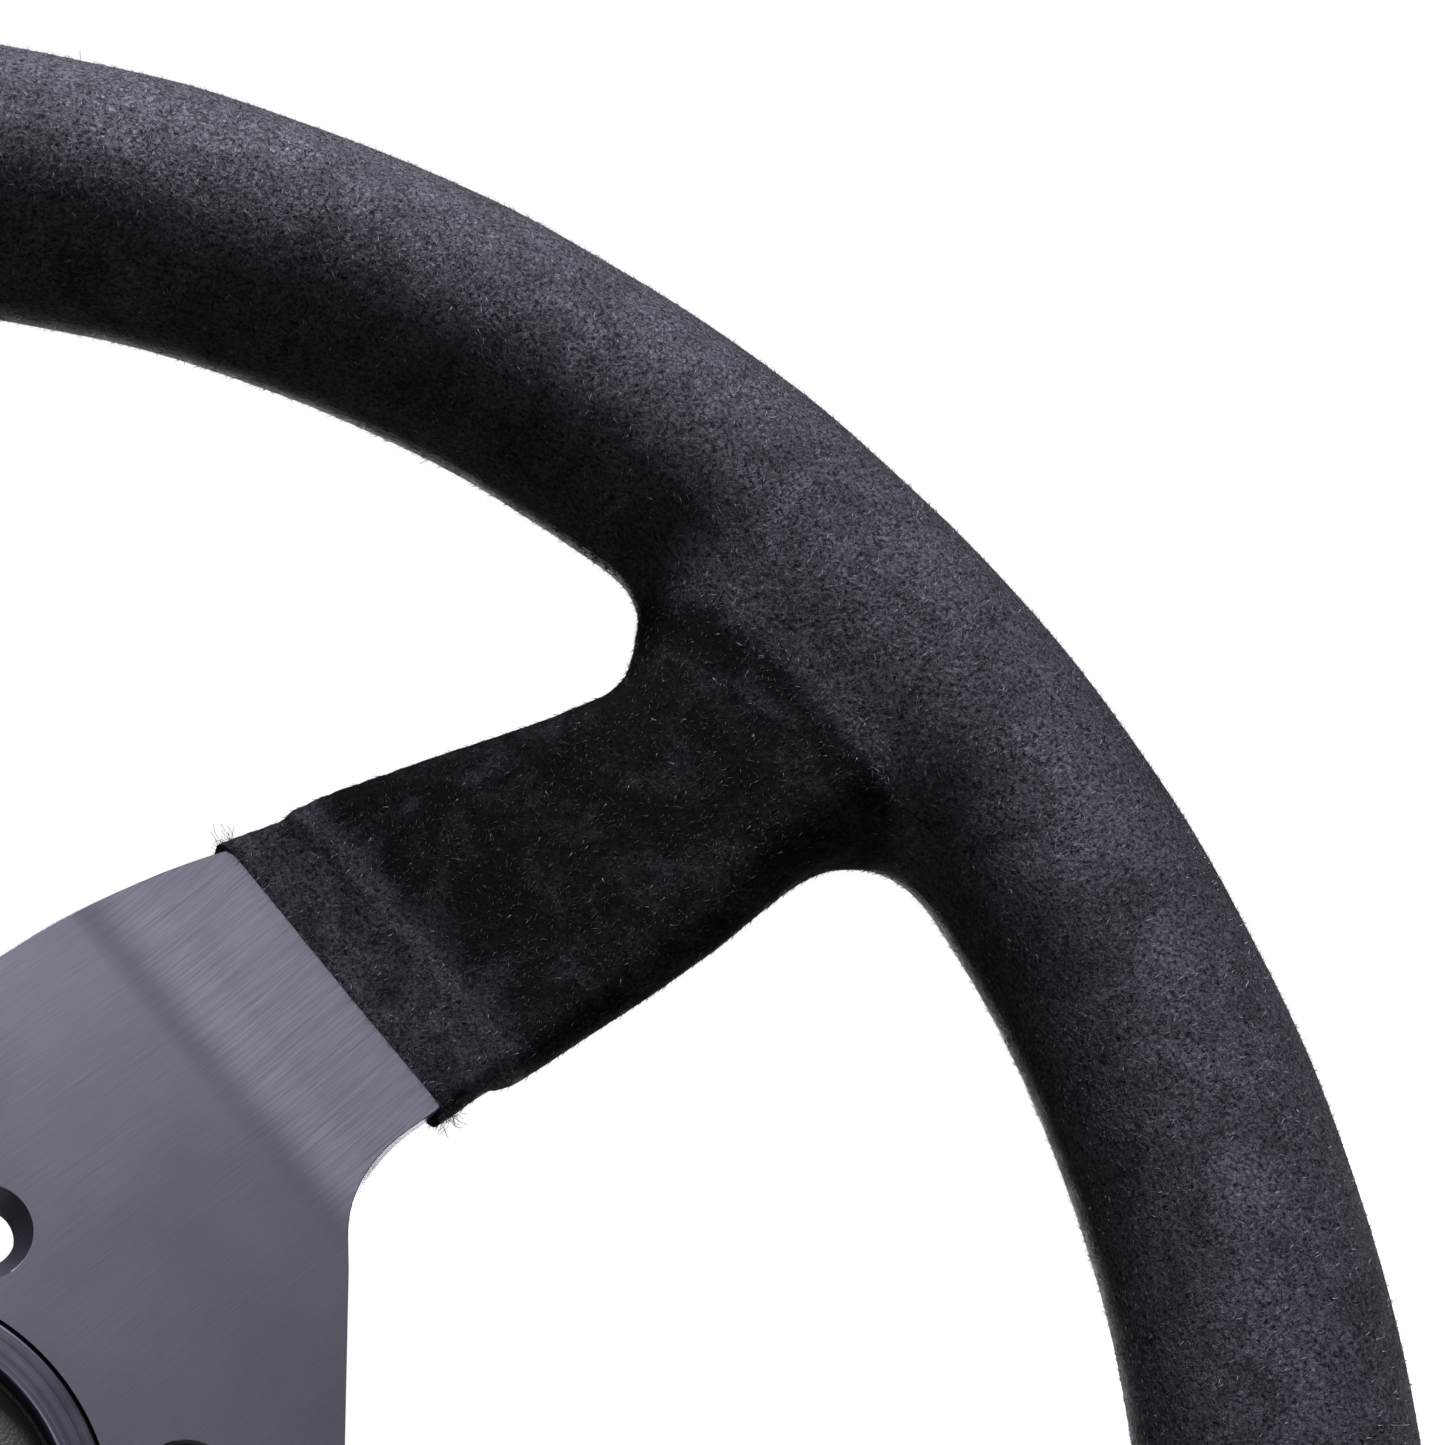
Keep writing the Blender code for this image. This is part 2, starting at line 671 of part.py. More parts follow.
def make_release(finish_collar, finish_steel, finish_ball):
    """Sliding collar, its spring and stop ring, and the lock balls."""
    ramp_r = BALL_CENTRE_R + (BALL_R + GAP) * math.hypot(1, RAMP_SLOPE)
    land_r = TUBE_R + GAP
    ramp_front = BALL_Y - (ramp_r - land_r) / RAMP_SLOPE
    ramp_rear_r = ramp_r + (COLLAR_REAR - BALL_Y) * RAMP_SLOPE
    spring_room_r, spring_room_y = 0.0258, -0.025
    turned(
        "release_collar",
        [
            (land_r, spring_room_y),
            (spring_room_r, spring_room_y),
            (spring_room_r, COLLAR_FRONT),
            (COLLAR_R - 0.0006, COLLAR_FRONT),
            (COLLAR_R, COLLAR_FRONT + 0.0006),
            (COLLAR_R, -0.0140),
            (COLLAR_LIP_R - 0.0005, -0.0115),
            (COLLAR_LIP_R, -0.0108),
            (COLLAR_LIP_R, COLLAR_REAR - 0.0008),
            (COLLAR_LIP_R - 0.0008, COLLAR_REAR),
            (ramp_rear_r, COLLAR_REAR),
            (land_r, ramp_front),
        ],
        finish_collar,
    )
    helix("collar_spring", 0.0232, 0.0009, HUB_STEP_Y + GAP, spring_room_y - GAP, 4.0, finish_steel)
    stop = [(0.0199, -0.0057), (0.0268, -0.0057), (0.0268, -0.0045), (0.0199, -0.0045)]
    turned("collar_stop_ring", stop, finish_steel, steps=30, sweep=340)
    for k in range(BALL_COUNT):
        bm = bmesh.new()
        bmesh.ops.create_icosphere(bm, subdivisions=2, radius=BALL_R)
        ball = add_object(f"lock_ball_{k + 1}", to_mesh(f"lock_ball_{k + 1}", bm), finish_ball, 60)
        x, z = at_angle(BALL_CENTRE_R, 360 * k / BALL_COUNT)
        ball.location = (x, BALL_Y, z)


def make_screws(finish):
    """Countersunk screws that hold the plate to the hub's flange."""
    head_front = PLATE_FRONT + 0.0002
    head_r = COUNTERSINK_R - 0.0005
    tip = HUB_FRONT + FLANGE_T - 0.0008
    outline = [
        (0, head_front),
        (head_r - 0.0002, head_front),
        (head_r, head_front + 0.0001),
        (SCREW_R, head_front + head_r - SCREW_R),
        (SCREW_R, tip - 0.0005),
        (SCREW_R - 0.0005, tip),
        (0, tip),
    ]
    for k, angle in enumerate(SCREW_ANGLES, start=1):
        screw = turned(f"hub_screw_{k}", outline, finish, steps=16)
        x, z = at_angle(BOLT_CIRCLE_R, angle)
        screw.location = (x, 0, z)
        socket = rod(f"cut_hex_{k}", 0.00173, head_front - 0.001, head_front + 0.0020, steps=6)
        socket.location = (x, 0, z)
        cut(screw, socket)


def main():
    """Clear the scene and build every part."""
    for old in list(bpy.data.objects):
        bpy.data.objects.remove(old)
    plate_alu = material("plate_anodised", (0.145, 0.125, 0.165), 0.38, 1.0)
    bezel_alu = material("bezel_anodised", (0.130, 0.115, 0.150), 0.32, 1.0)
    hub_alu = material("hub_anodised", (0.030, 0.030, 0.034), 0.40, 0.9)
    collar_alu = material("collar_anodised", (0.045, 0.043, 0.050), 0.35, 0.9)
    core_alu = material("core_aluminium", (0.60, 0.60, 0.62), 0.45, 1.0)
    steel = material("steel", (0.42, 0.42, 0.43), 0.30, 1.0)
    black_steel = material("black_steel", (0.035, 0.035, 0.038), 0.45, 0.8)
    brass = material("brass", (0.70, 0.52, 0.24), 0.35, 1.0)
    suede = material("suede", (0.018, 0.018, 0.024), 0.95, 0.0)
    foam = material("foam", (0.020, 0.020, 0.020), 0.90, 0.0)
    plastic = material("black_plastic", (0.020, 0.020, 0.022), 0.50, 0.0)
    rubber = material("seal_rubber", (0.015, 0.015, 0.015), 0.70, 0.0)

    make_skeleton(plate_alu, core_alu, core_alu)
    make_rim(foam, suede)
    make_spoke_covers(foam, suede)
    make_horn(bezel_alu, plastic, plastic, brass, steel)
    make_hub(hub_alu, steel, steel, rubber)
    make_release(collar_alu, steel, steel)
    make_screws(black_steel)


main()
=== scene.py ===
"""The looks of the suede steering wheel with its quick release hub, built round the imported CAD."""

import json
import math

import bmesh
import bpy
import numpy as np
from mathutils import Matrix, Vector

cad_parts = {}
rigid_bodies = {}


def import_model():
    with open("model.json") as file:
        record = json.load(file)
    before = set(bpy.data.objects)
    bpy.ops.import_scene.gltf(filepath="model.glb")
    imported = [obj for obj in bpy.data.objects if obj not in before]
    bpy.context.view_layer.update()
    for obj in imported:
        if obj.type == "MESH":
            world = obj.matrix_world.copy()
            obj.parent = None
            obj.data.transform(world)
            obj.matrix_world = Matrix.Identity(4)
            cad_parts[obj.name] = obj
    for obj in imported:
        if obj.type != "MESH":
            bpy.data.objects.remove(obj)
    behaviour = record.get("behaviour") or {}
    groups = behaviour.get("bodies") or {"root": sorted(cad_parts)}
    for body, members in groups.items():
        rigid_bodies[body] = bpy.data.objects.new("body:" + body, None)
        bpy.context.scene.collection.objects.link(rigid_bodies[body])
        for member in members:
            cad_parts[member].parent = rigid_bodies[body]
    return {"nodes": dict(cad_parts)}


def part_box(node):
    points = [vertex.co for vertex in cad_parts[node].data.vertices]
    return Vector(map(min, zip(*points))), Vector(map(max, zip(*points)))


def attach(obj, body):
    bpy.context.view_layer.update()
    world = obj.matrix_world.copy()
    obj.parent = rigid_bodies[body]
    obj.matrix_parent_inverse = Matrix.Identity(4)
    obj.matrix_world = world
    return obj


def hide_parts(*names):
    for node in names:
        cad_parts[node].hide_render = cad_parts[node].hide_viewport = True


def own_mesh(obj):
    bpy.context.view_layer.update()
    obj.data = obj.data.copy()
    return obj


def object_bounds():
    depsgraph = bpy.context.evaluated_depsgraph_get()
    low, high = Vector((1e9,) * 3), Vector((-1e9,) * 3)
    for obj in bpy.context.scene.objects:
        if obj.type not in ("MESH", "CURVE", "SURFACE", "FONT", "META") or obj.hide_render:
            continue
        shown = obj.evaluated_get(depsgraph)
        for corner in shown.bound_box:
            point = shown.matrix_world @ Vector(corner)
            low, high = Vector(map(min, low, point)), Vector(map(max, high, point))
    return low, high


for leftover in list(bpy.data.objects):
    bpy.data.objects.remove(leftover)
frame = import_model()
cad_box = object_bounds()
nodes = frame["nodes"]

# Driving dimensions, in metres, as in the CAD model
MM = 0.001
RIM_LOW, RIM_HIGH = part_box("rim_cover")
PLATE_LOW, PLATE_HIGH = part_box("spoke_plate")
RIM_OUTER_R = RIM_HIGH.x
RIM_Y = (RIM_LOW.y + RIM_HIGH.y) / 2
GRIP_RADIAL = 14.6 * MM
GRIP_AXIAL = (RIM_HIGH.y - RIM_LOW.y) / 2
RIM_R = RIM_OUTER_R - GRIP_RADIAL
PLATE_T = 4.0 * MM
PLATE_BACK = PLATE_HIGH.y
PLATE_FRONT = PLATE_BACK - PLATE_T
PLATE_MID = PLATE_BACK - PLATE_T / 2
TIP_MID = PLATE_LOW.y + PLATE_T / 2
SUEDE_T = 1.0 * MM
RISE_START, RISE_END, RISE_BLEND = 64 * MM, 126 * MM, 5 * MM
SLEEVE_START, SLEEVE_END = 76.5 * MM, 141 * MM
SEAM_R = 129.2 * MM
BOLT_CIRCLE_R, BALL_R = 35 * MM, 4 * MM
SNAP = 1e-7

# The suede: how softly rim and sleeves meet, its unevenness, its mesh, and the dip at the seam
NECK_FILLET = 10.5 * MM
UNEVEN_DEPTH, UNEVEN_SIZE = 0.10 * MM, 26 * MM
SUEDE_MESH, SUEDE_SNAP = 1.5 * MM, 0.02 * MM
SEAM_DIP, SEAM_DIP_WIDTH = 0.12 * MM, 0.9 * MM
SUEDE_TINT = (1.0, 0.96, 1.25)

# Seam rolls, thread, hairs and fibres. Fibre sizes are ranges in millimetres.
ROLL_R, ROLL_ASIDE = 0.55 * MM, 0.62 * MM
THREAD_R, STITCH_PITCH, STITCH_WIDTH = 0.30 * MM, 4.0 * MM, 4.2 * MM
HAIR_R, STRAY_HAIRS_PER_MM2 = 0.028 * MM, 0.0022
FIBRE_LENGTH, FIBRE_RADIUS, FIBRE_LIFT, FIBRE_WILD = (0.4, 1.05), (0.032, 0.062), 0.40, 0.5
TOOL_MARK = 0.09 * MM
ARC_STEP_DEG = 3

# A spoke's two edges, as corners (distance along the spoke, distance across it)
SIDE_UPPER = [(64.5, 41.6), (84, 33.2), (115, 19.5), (128, 13.0), (150, 10.0)]
SIDE_LOWER = [(66.2, -1.2), (84, -3.0), (128, -8.5), (150, -10.0)]
DOWN_EDGE = [(54.7, 20.8), (84, 18.2), (128, 12.0), (150, 10.0)]
ARMS = {
    "right": (SIDE_UPPER, SIDE_LOWER),
    "left": (SIDE_UPPER, SIDE_LOWER),
    "bottom": (DOWN_EDGE, [(u, -v) for u, v in DOWN_EDGE]),
}


# ---- shapes in numbers

def smooth_min(a, b, k):
    """The lesser of two distances, with a round fillet of about k between their surfaces."""
    h = np.maximum(k - np.abs(a - b), 0) / k
    return np.minimum(a, b) - h * h * k / 4


def to_arm(points, arm):
    """Split points into a distance along an arm, a distance across it, and a depth."""
    x, y, z = points[:, 0], points[:, 1], points[:, 2]
    if arm == "right":
        return x, z, y
    if arm == "left":
        return -x, z, y
    return -z, x, y


def from_arm(u, v, y, arm):
    """The inverse of to_arm, for one point."""
    if arm == "right":
        return (u, y, v)
    if arm == "left":
        return (-u, y, v)
    return (v, y, -u)


def edge_at(edge, u):
    """How far across the arm an edge lies, at distances u along the arm."""
    table = np.array(edge) * MM
    return np.interp(u, table[:, 0], table[:, 1])


def ramp(u, start):
    """Zero before start and u - start after it, with a round blend, and its slope."""
    past = np.clip(u - start + RISE_BLEND, 0, 2 * RISE_BLEND)
    beyond = np.maximum(u - start - RISE_BLEND, 0)
    return past**2 / (4 * RISE_BLEND) + beyond, past / (2 * RISE_BLEND)


def arm_line(u):
    """Depth of an arm's middle plane at u, and the angle at which it rises there."""
    slope = (PLATE_MID - TIP_MID) / (RISE_END - RISE_START)
    first, first_slope = ramp(u, RISE_START)
    second, second_slope = ramp(u, RISE_END)
    return PLATE_MID - slope * (first - second), np.arctan(slope * (first_slope - second_slope))


# A sleeve's section at stations along its arm, in millimetres: how far its surface stands past
# the metal's upper and lower edges, in front of it and behind it, and its corner radius.
SLEEVE_U = np.array([70, 82.8, 84.8, 88, 100, 110, 116, 119, 122, 125, 128, 140]) * MM
SLEEVE = {
    "upper": [1.03, 1.03, 1.9, 2.2, 2.6, 2.3, 2.5, 4.0, 6.7, 9.6, 11.6, 13.5],
    "lower": [1.03, 1.03, 2.1, 2.3, 2.6, 2.4, 1.8, 1.5, 1.5, 1.8, 2.4, 3.5],
    "front": [1.03, 1.03, 1.7, 2.0, 3.5, 5.2, 6.5, 7.2, 7.9, 9.0, 10.0, 10.5],
    "back": [1.03, 1.03, 1.7, 2.0, 2.9, 3.9, 4.9, 5.4, 5.9, 6.4, 6.6, 6.0],
    "corner": [1.9, 1.9, 2.4, 2.7, 4.2, 5.6, 6.5, 6.9, 7.4, 7.8, 8.2, 8.2],
}


def sleeve_section(u, arm, over="upper"):
    """A sleeve's upper and lower edge at u, how far it stands in front and behind, its corner."""
    def past(part):
        return np.interp(u, SLEEVE_U, np.array(SLEEVE[part]) * MM)

    upper, lower = ARMS[arm]
    high = edge_at(upper, u) + past(over)
    low = edge_at(lower, u) - past(over if arm == "bottom" else "lower")
    return high, low, PLATE_T / 2 + past("front"), PLATE_T / 2 + past("back"), past("corner")


def sleeve_distance(points, arm):
    """Distance to a sleeve's surface, from its rounded box section."""
    u, v, y = to_arm(points, arm)
    middle, angle = arm_line(u)
    forward = (middle - y) * np.cos(angle)
    high, low, front, back, corner = sleeve_section(u, arm)
    corner = np.minimum(corner, (front + back) / 2 - 0.1 * MM)
    qv = np.abs(v - (high + low) / 2) - (high - low) / 2 + corner
    qw = np.abs(forward - (front - back) / 2) - (front + back) / 2 + corner
    outside = np.hypot(np.maximum(qv, 0), np.maximum(qw, 0))
    across = outside + np.minimum(np.maximum(qv, qw), 0) - corner
    return np.maximum(across, np.maximum(SLEEVE_START - 5 * MM - u, u - SLEEVE_END))


def about_axis(radius, depth, turns):
    """Points at these radii and depths, turned about the steering axis."""
    radius, depth, turns = np.broadcast_arrays(radius, depth, turns)
    return np.stack([radius * np.cos(turns), depth, radius * np.sin(turns)], -1).reshape(-1, 3)


def ring_points(rows, per_row, room=0.0):
    """Points of the rim's oval ring, room inside its surface, one row after another."""
    turns = 2 * math.pi * np.arange(rows)[:, None] / rows
    angles = 2 * math.pi * np.arange(per_row) / per_row
    radius = RIM_R + (GRIP_RADIAL - room) * np.cos(angles)
    depth = RIM_Y + (GRIP_AXIAL - room) * np.sin(angles)
    return about_axis(radius, depth, turns)


def ring_distance(points):
    """Distance to the rim's oval ring."""
    radial = np.hypot(points[:, 0], points[:, 2]) - RIM_R
    axial = points[:, 1] - RIM_Y
    near = np.hypot(radial / GRIP_RADIAL, axial / GRIP_AXIAL)
    steep = np.hypot(radial / GRIP_RADIAL**2, axial / GRIP_AXIAL**2)
    return near * (near - 1) / np.maximum(steep, 1e-9)


def lumps(points, size, seed):
    """A soft wave pattern of about one unit, for the hand-stretched unevenness of suede."""
    rng = np.random.default_rng(seed)
    total = np.zeros(len(points))
    for _ in range(9):
        direction = rng.normal(size=3)
        direction /= np.linalg.norm(direction)
        wavelength = size * rng.uniform(0.7, 1.6)
        total += np.sin(points @ direction * (2 * math.pi / wavelength) + rng.uniform(0, 6.28))
    return total / 3


def suede_distance(points):
    """Distance to the whole suede surface, rim and sleeves flowing into each other."""
    total = ring_distance(points)
    for arm in ARMS:
        total = smooth_min(total, sleeve_distance(points, arm), NECK_FILLET)
    return total + UNEVEN_DEPTH * lumps(points, UNEVEN_SIZE, 4)


# ---- mesh helpers

def shade(mesh, angle):
    """Shade a mesh smooth, except at edges sharper than an angle in degrees."""
    mesh.shade_smooth()
    mesh.set_sharp_from_angle(angle=math.radians(angle))


def linked(name, data):
    """A new object in the scene."""
    made = bpy.data.objects.new(name, data)
    bpy.context.scene.collection.objects.link(made)
    return made


def add_piece(name, mesh, finish, smooth, body="wheel"):
    """Link a mesh as a piece, shade it smooth up to an angle and ride it on a body."""
    if smooth:
        shade(mesh, smooth)
    piece = linked(name, mesh)
    mesh.materials.clear()
    mesh.materials.append(finish)
    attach(piece, body)
    return piece


def mesh_from(name, bm):
    """Turn a bmesh into a mesh."""
    mesh = bpy.data.meshes.new(name)
    bm.to_mesh(mesh)
    bm.free()
    return mesh


def grid_mesh(name, vertices, faces):
    """A mesh from arrays."""
    mesh = bpy.data.meshes.new(name)
    mesh.from_pydata([tuple(v) for v in vertices], [], [tuple(f) for f in faces])
    return mesh


def closed_mesh(name, vertices, faces):
    """A mesh of closed bodies from arrays, its faces all turned outwards."""
    bm = bmesh.new()
    bm.from_mesh(grid_mesh(name, vertices, faces))
    bmesh.ops.recalc_face_normals(bm, faces=bm.faces)
    return mesh_from(name, bm)


def cut_across(bm, place, normal, snap, geom=None):
    """Split the faces that cross a plane along it. Points nearer than snap count as on it."""
    geom = geom or bm.verts[:] + bm.edges[:] + bm.faces[:]
    bmesh.ops.bisect_plane(bm, geom=geom, dist=snap, plane_co=place, plane_no=normal)


def from_axis(point):
    """A point's distance from the steering axis."""
    return math.hypot(point.x, point.z)


def coordinates(mesh):
    """A mesh's vertices as an array."""
    flat = np.empty(len(mesh.vertices) * 3)
    mesh.vertices.foreach_get("co", flat)
    return flat.reshape(-1, 3)


def applied(piece):
    """Swap a piece's mesh for what its modifiers make of it."""
    depsgraph = bpy.context.evaluated_depsgraph_get()
    mesh = bpy.data.meshes.new_from_object(piece.evaluated_get(depsgraph))
    old = piece.data
    piece.modifiers.clear()
    piece.data = mesh
    bpy.data.meshes.remove(old)
    return mesh


# ---- suede body

def tube_faces(rows, per_row, closed):
    """Quads between rows of points that each go round once, and end caps on an open tube."""
    faces = []
    for i in range(rows if closed else rows - 1):
        here, there = i * per_row, (i + 1) % rows * per_row
        for j in range(per_row):
            k = (j + 1) % per_row
            faces.append((here + j, here + k, there + k, there + j))
    if not closed:
        last = per_row * (rows - 1)
        faces += [tuple(range(per_row - 1, -1, -1)), tuple(range(last, last + per_row))]
    return faces


def rough_suede_body():
    """The rim's ring and plain bars along the spokes, fused by a fine remesh."""
    rows, per_row = 160, 24
    vertices = ring_points(rows, per_row).tolist()
    faces = tube_faces(rows, per_row, True)
    stations = np.linspace(72 * MM, SLEEVE_END, 24)
    for arm in ARMS:
        first = len(vertices)
        for u in stations:
            middle, _ = arm_line(u)
            high, low, front, back, _ = sleeve_section(u, arm)
            for v, w in ((high, -front), (low, -front), (low, back), (high, back)):
                vertices.append(from_arm(u, v, middle + w, arm))
        faces += [tuple(k + first for k in f) for f in tube_faces(len(stations), 4, False)]
    body = linked("suede_rough", closed_mesh("suede_rough", vertices, faces))
    remesh = body.modifiers.new("remesh", "REMESH")
    remesh.mode = "VOXEL"
    remesh.voxel_size = SUEDE_MESH
    applied(body)
    return body


def settle(points, distance, rounds):
    """Move points along the slope of a distance function until they lie on its surface."""
    for _ in range(rounds):
        slope = slope_of(distance, points)
        square = np.maximum((slope**2).sum(1), 0.05)
        points = points - (distance(points) / square)[:, None] * slope
    return points


def relaxed(mesh, points, distance):
    """Even out the spacing of points on a surface, then settle them on it again."""
    edges = np.empty(len(mesh.edges) * 2, int)
    mesh.edges.foreach_get("vertices", edges)
    a, b = edges.reshape(-1, 2).T
    count = np.bincount(a, minlength=len(points)) + np.bincount(b, minlength=len(points))
    for _ in range(4):
        total = np.zeros_like(points)
        np.add.at(total, a, points[b])
        np.add.at(total, b, points[a])
        points = points + 0.6 * (total / count[:, None] - points)
        points = settle(points, distance, 2)
    return points


def cut_at_radius(bm, radius):
    """Split the faces that cross a cylinder about the steering axis, exactly along it."""
    for vert in bm.verts:
        x, y, z = vert.co
        vert.co = (math.hypot(x, z), y, math.atan2(x + z, z - x))
    near = [f for f in bm.faces if min(v.co.x for v in f.verts) < radius < max(v.co.x for v in f.verts)]
    geom = set(near)
    for face in near:
        geom.update(face.verts)
        geom.update(face.edges)
    cut_across(bm, (radius, 0, 0), (1, 0, 0), SUEDE_SNAP, list(geom))
    for vert in bm.verts:
        r, y, turn = vert.co
        x_minus, x_plus = r * math.cos(turn), r * math.sin(turn)
        vert.co = ((x_plus - x_minus) / math.sqrt(2), y, (x_plus + x_minus) / math.sqrt(2))


def make_suede(finish):
    """The rim's cover and the three spoke sleeves, each a skin of its own thickness."""
    body = rough_suede_body()
    mesh = body.data
    points = settle(coordinates(mesh), suede_distance, 10)
    points = relaxed(mesh, points, suede_distance)
    mesh.vertices.foreach_set("co", points.ravel())
    bm = bmesh.new()
    bm.from_mesh(mesh)
    bmesh.ops.recalc_face_normals(bm, faces=bm.faces)
    near_seam = [e for e in bm.edges if abs(from_axis(e.verts[0].co) - SEAM_R) < 3.2 * MM]
    bmesh.ops.subdivide_edges(bm, edges=near_seam, cuts=1, use_grid_fill=True)
    cut_at_radius(bm, SEAM_R)
    for arm in ARMS:
        cut_across(bm, from_arm(SLEEVE_START, 0, 0, arm), from_arm(1, 0, 0, arm), SUEDE_SNAP)
    beyond = [f for f in bm.faces if before_sleeve(f.calc_center_median())]
    bmesh.ops.delete(bm, geom=beyond, context="FACES")
    rim_faces, sleeve_faces = [], {arm: [] for arm in ARMS}
    for face in bm.faces:
        middle = face.calc_center_median()
        if from_axis(middle) > SEAM_R:
            rim_faces.append(face)
        elif middle.z < -60 * MM:
            sleeve_faces["bottom"].append(face)
        else:
            sleeve_faces["right" if middle.x > 0 else "left"].append(face)
    made = [skin_piece("suede_rim_cover", rim_faces, finish)]
    for arm, faces in sleeve_faces.items():
        made.append(skin_piece(f"suede_sleeve_{arm}", faces, finish))
    bm.free()
    bpy.data.objects.remove(body)
    return made


def before_sleeve(point):
    """Whether a point on a spoke lies between its sleeve's end and the hub."""
    return from_axis(point) < SEAM_R and max(abs(point.x), -point.z) < SLEEVE_START - 1e-6


def nap_tone_and_painted_highlight(points):
    """From 0 to 1, how light the suede is made: dark on the sleeves, lighter at their ends and on the
    rim, with a painted highlight on the rim's outer half and painted shade on its inner half.
    """
    radius = np.hypot(points[:, 0], points[:, 2])
    rim = np.clip((radius - SEAM_R + 1.5 * MM) / (4 * MM), 0, 1)
    # painted highlight: the rim's outer half is made lighter and its inner half darker, standing in for
    # a lamp's light band along the grip
    painted_highlight_outer = np.clip(0.5 + 0.5 * (radius - RIM_R) / GRIP_RADIAL, 0, 1)
    seam = np.exp(-(((radius - SEAM_R - 0.5 * MM) / (1.5 * MM)) ** 2))
    past_end = np.maximum(np.abs(points[:, 0]), -points[:, 2]) - SLEEVE_START
    end = 0.45 * np.clip((11.5 * MM - past_end) / (3 * MM), 0, 1)
    end += 0.40 * np.exp(-(((past_end - 8.3 * MM) / (0.8 * MM)) ** 2))
    end *= radius < SEAM_R
    return np.clip(rim * (0.45 + 0.55 * painted_highlight_outer) + 0.45 * seam + end, 0, 1).astype(np.float32)


def skin_piece(name, faces, finish):
    """Copy some faces of a surface into a piece and give them the suede's thickness."""
    copy = bmesh.new()
    verts = {}
    for face in faces:
        for vert in face.verts:
            if vert not in verts:
                verts[vert] = copy.verts.new(vert.co)
        copy.faces.new([verts[v] for v in face.verts])
    copy.normal_update()
    for vert in copy.verts:
        away = (from_axis(vert.co) - SEAM_R) / SEAM_DIP_WIDTH
        vert.co -= vert.normal * (SEAM_DIP * math.exp(-(away**2)))
    piece = add_piece(name, mesh_from(name, copy), finish, 60)
    piece_surface[name] = surface_triangles(piece.data)
    # the nap attribute carries the suede's lightness, painted highlight and painted shade on the rim
    # included
    nap = piece.data.attributes.new("nap", "FLOAT", "POINT")
    nap.data.foreach_set("value", nap_tone_and_painted_highlight(coordinates(piece.data)))
    skin = piece.modifiers.new("skin", "SOLIDIFY")
    skin.thickness = SUEDE_T
    skin.offset = -1
    skin.use_even_offset = False
    applied(piece)
    shade(piece.data, 60)
    return piece


# ---- fibres of the suede's nap

piece_surface = {}  # each suede piece's outer surface, as an array of triangles


def surface_triangles(mesh):
    """A mesh's triangles, as an array of their corners."""
    mesh.calc_loop_triangles()
    corners = np.empty(len(mesh.loop_triangles) * 3, int)
    mesh.loop_triangles.foreach_get("vertices", corners)
    return coordinates(mesh)[corners].reshape(-1, 3, 3)


def unit(vectors):
    """Vectors brought to length one."""
    return vectors / np.maximum(np.linalg.norm(vectors, axis=1, keepdims=True), 1e-12)


def scattered(triangles, per_mm2, crowding, rng):
    """Points spread over triangles, closer together where crowding is high, with their normals."""
    normals = np.cross(triangles[:, 1] - triangles[:, 0], triangles[:, 2] - triangles[:, 0])
    areas = np.linalg.norm(normals, axis=1) / 2
    weights = areas * crowding(triangles.mean(1))
    count = int(weights.sum() / MM**2 * per_mm2)
    picked = np.searchsorted(np.cumsum(weights), rng.random(count) * weights.sum())
    a, b = rng.random((2, count))
    fold = a + b > 1
    a[fold], b[fold] = 1 - a[fold], 1 - b[fold]
    first, second, third = (triangles[picked, k] for k in range(3))
    points = first + (second - first) * a[:, None] + (third - first) * b[:, None]
    return points, unit(normals[picked])


def nap_direction(points, normals):
    """The way the nap lies: round the grip on the rim, and towards the hub on the sleeves."""
    radius = np.hypot(points[:, 0], points[:, 2])
    outward = points * (1, 0, 1) / radius[:, None]
    along = np.stack([-outward[:, 2], np.zeros(len(points)), outward[:, 0]], 1)
    round_grip = np.cross(along, normals)
    on_rim = np.clip((radius - SEAM_R) / (3 * MM) + 0.5, 0, 1)[:, None]
    return (round_grip + 0.35 * along) * on_rim - outward * (1 - on_rim)


def suede_crowding(points):
    """More loose fibres beside the seam and at the sleeves' cut edges."""
    radius = np.hypot(points[:, 0], points[:, 2])
    seam = np.exp(-(((radius - SEAM_R) / (0.9 * MM)) ** 2))
    end = np.maximum(np.abs(points[:, 0]), -points[:, 2]) - SLEEVE_START
    return 1 + 3.5 * seam + 3.0 * ((end < 0.7 * MM) & (radius < SEAM_R))


def fibre_spikes(roots, directions, lengths, radius):
    """Closed three-sided spikes, one for each fibre, as vertices and faces."""
    aside = unit(np.cross(directions, directions[:, [2, 0, 1]] + (0.3, 0.5, 0.7)))
    across = np.cross(directions, aside)
    thirds = 2 * math.pi * np.arange(3)[:, None, None] / 3
    base = roots + radius[:, None] * (np.cos(thirds) * aside + np.sin(thirds) * across)
    vertices = np.stack([*base, roots + directions * lengths[:, None]], 1).reshape(-1, 3)
    pattern = np.array([(0, 2, 1), (0, 1, 3), (1, 2, 3), (2, 0, 3)])
    return vertices, (np.arange(len(roots))[:, None, None] * 4 + pattern).reshape(-1, 3)


def fast_mesh(name, vertices, triangles):
    """A mesh of many triangles, made without a loop over them."""
    mesh = bpy.data.meshes.new(name)
    mesh.vertices.add(len(vertices))
    mesh.vertices.foreach_set("co", vertices.ravel())
    mesh.loops.add(triangles.size)
    mesh.loops.foreach_set("vertex_index", triangles.ravel())
    mesh.polygons.add(len(triangles))
    mesh.polygons.foreach_set("loop_start", np.arange(0, triangles.size, 3))
    mesh.update(calc_edges=True)
    return mesh


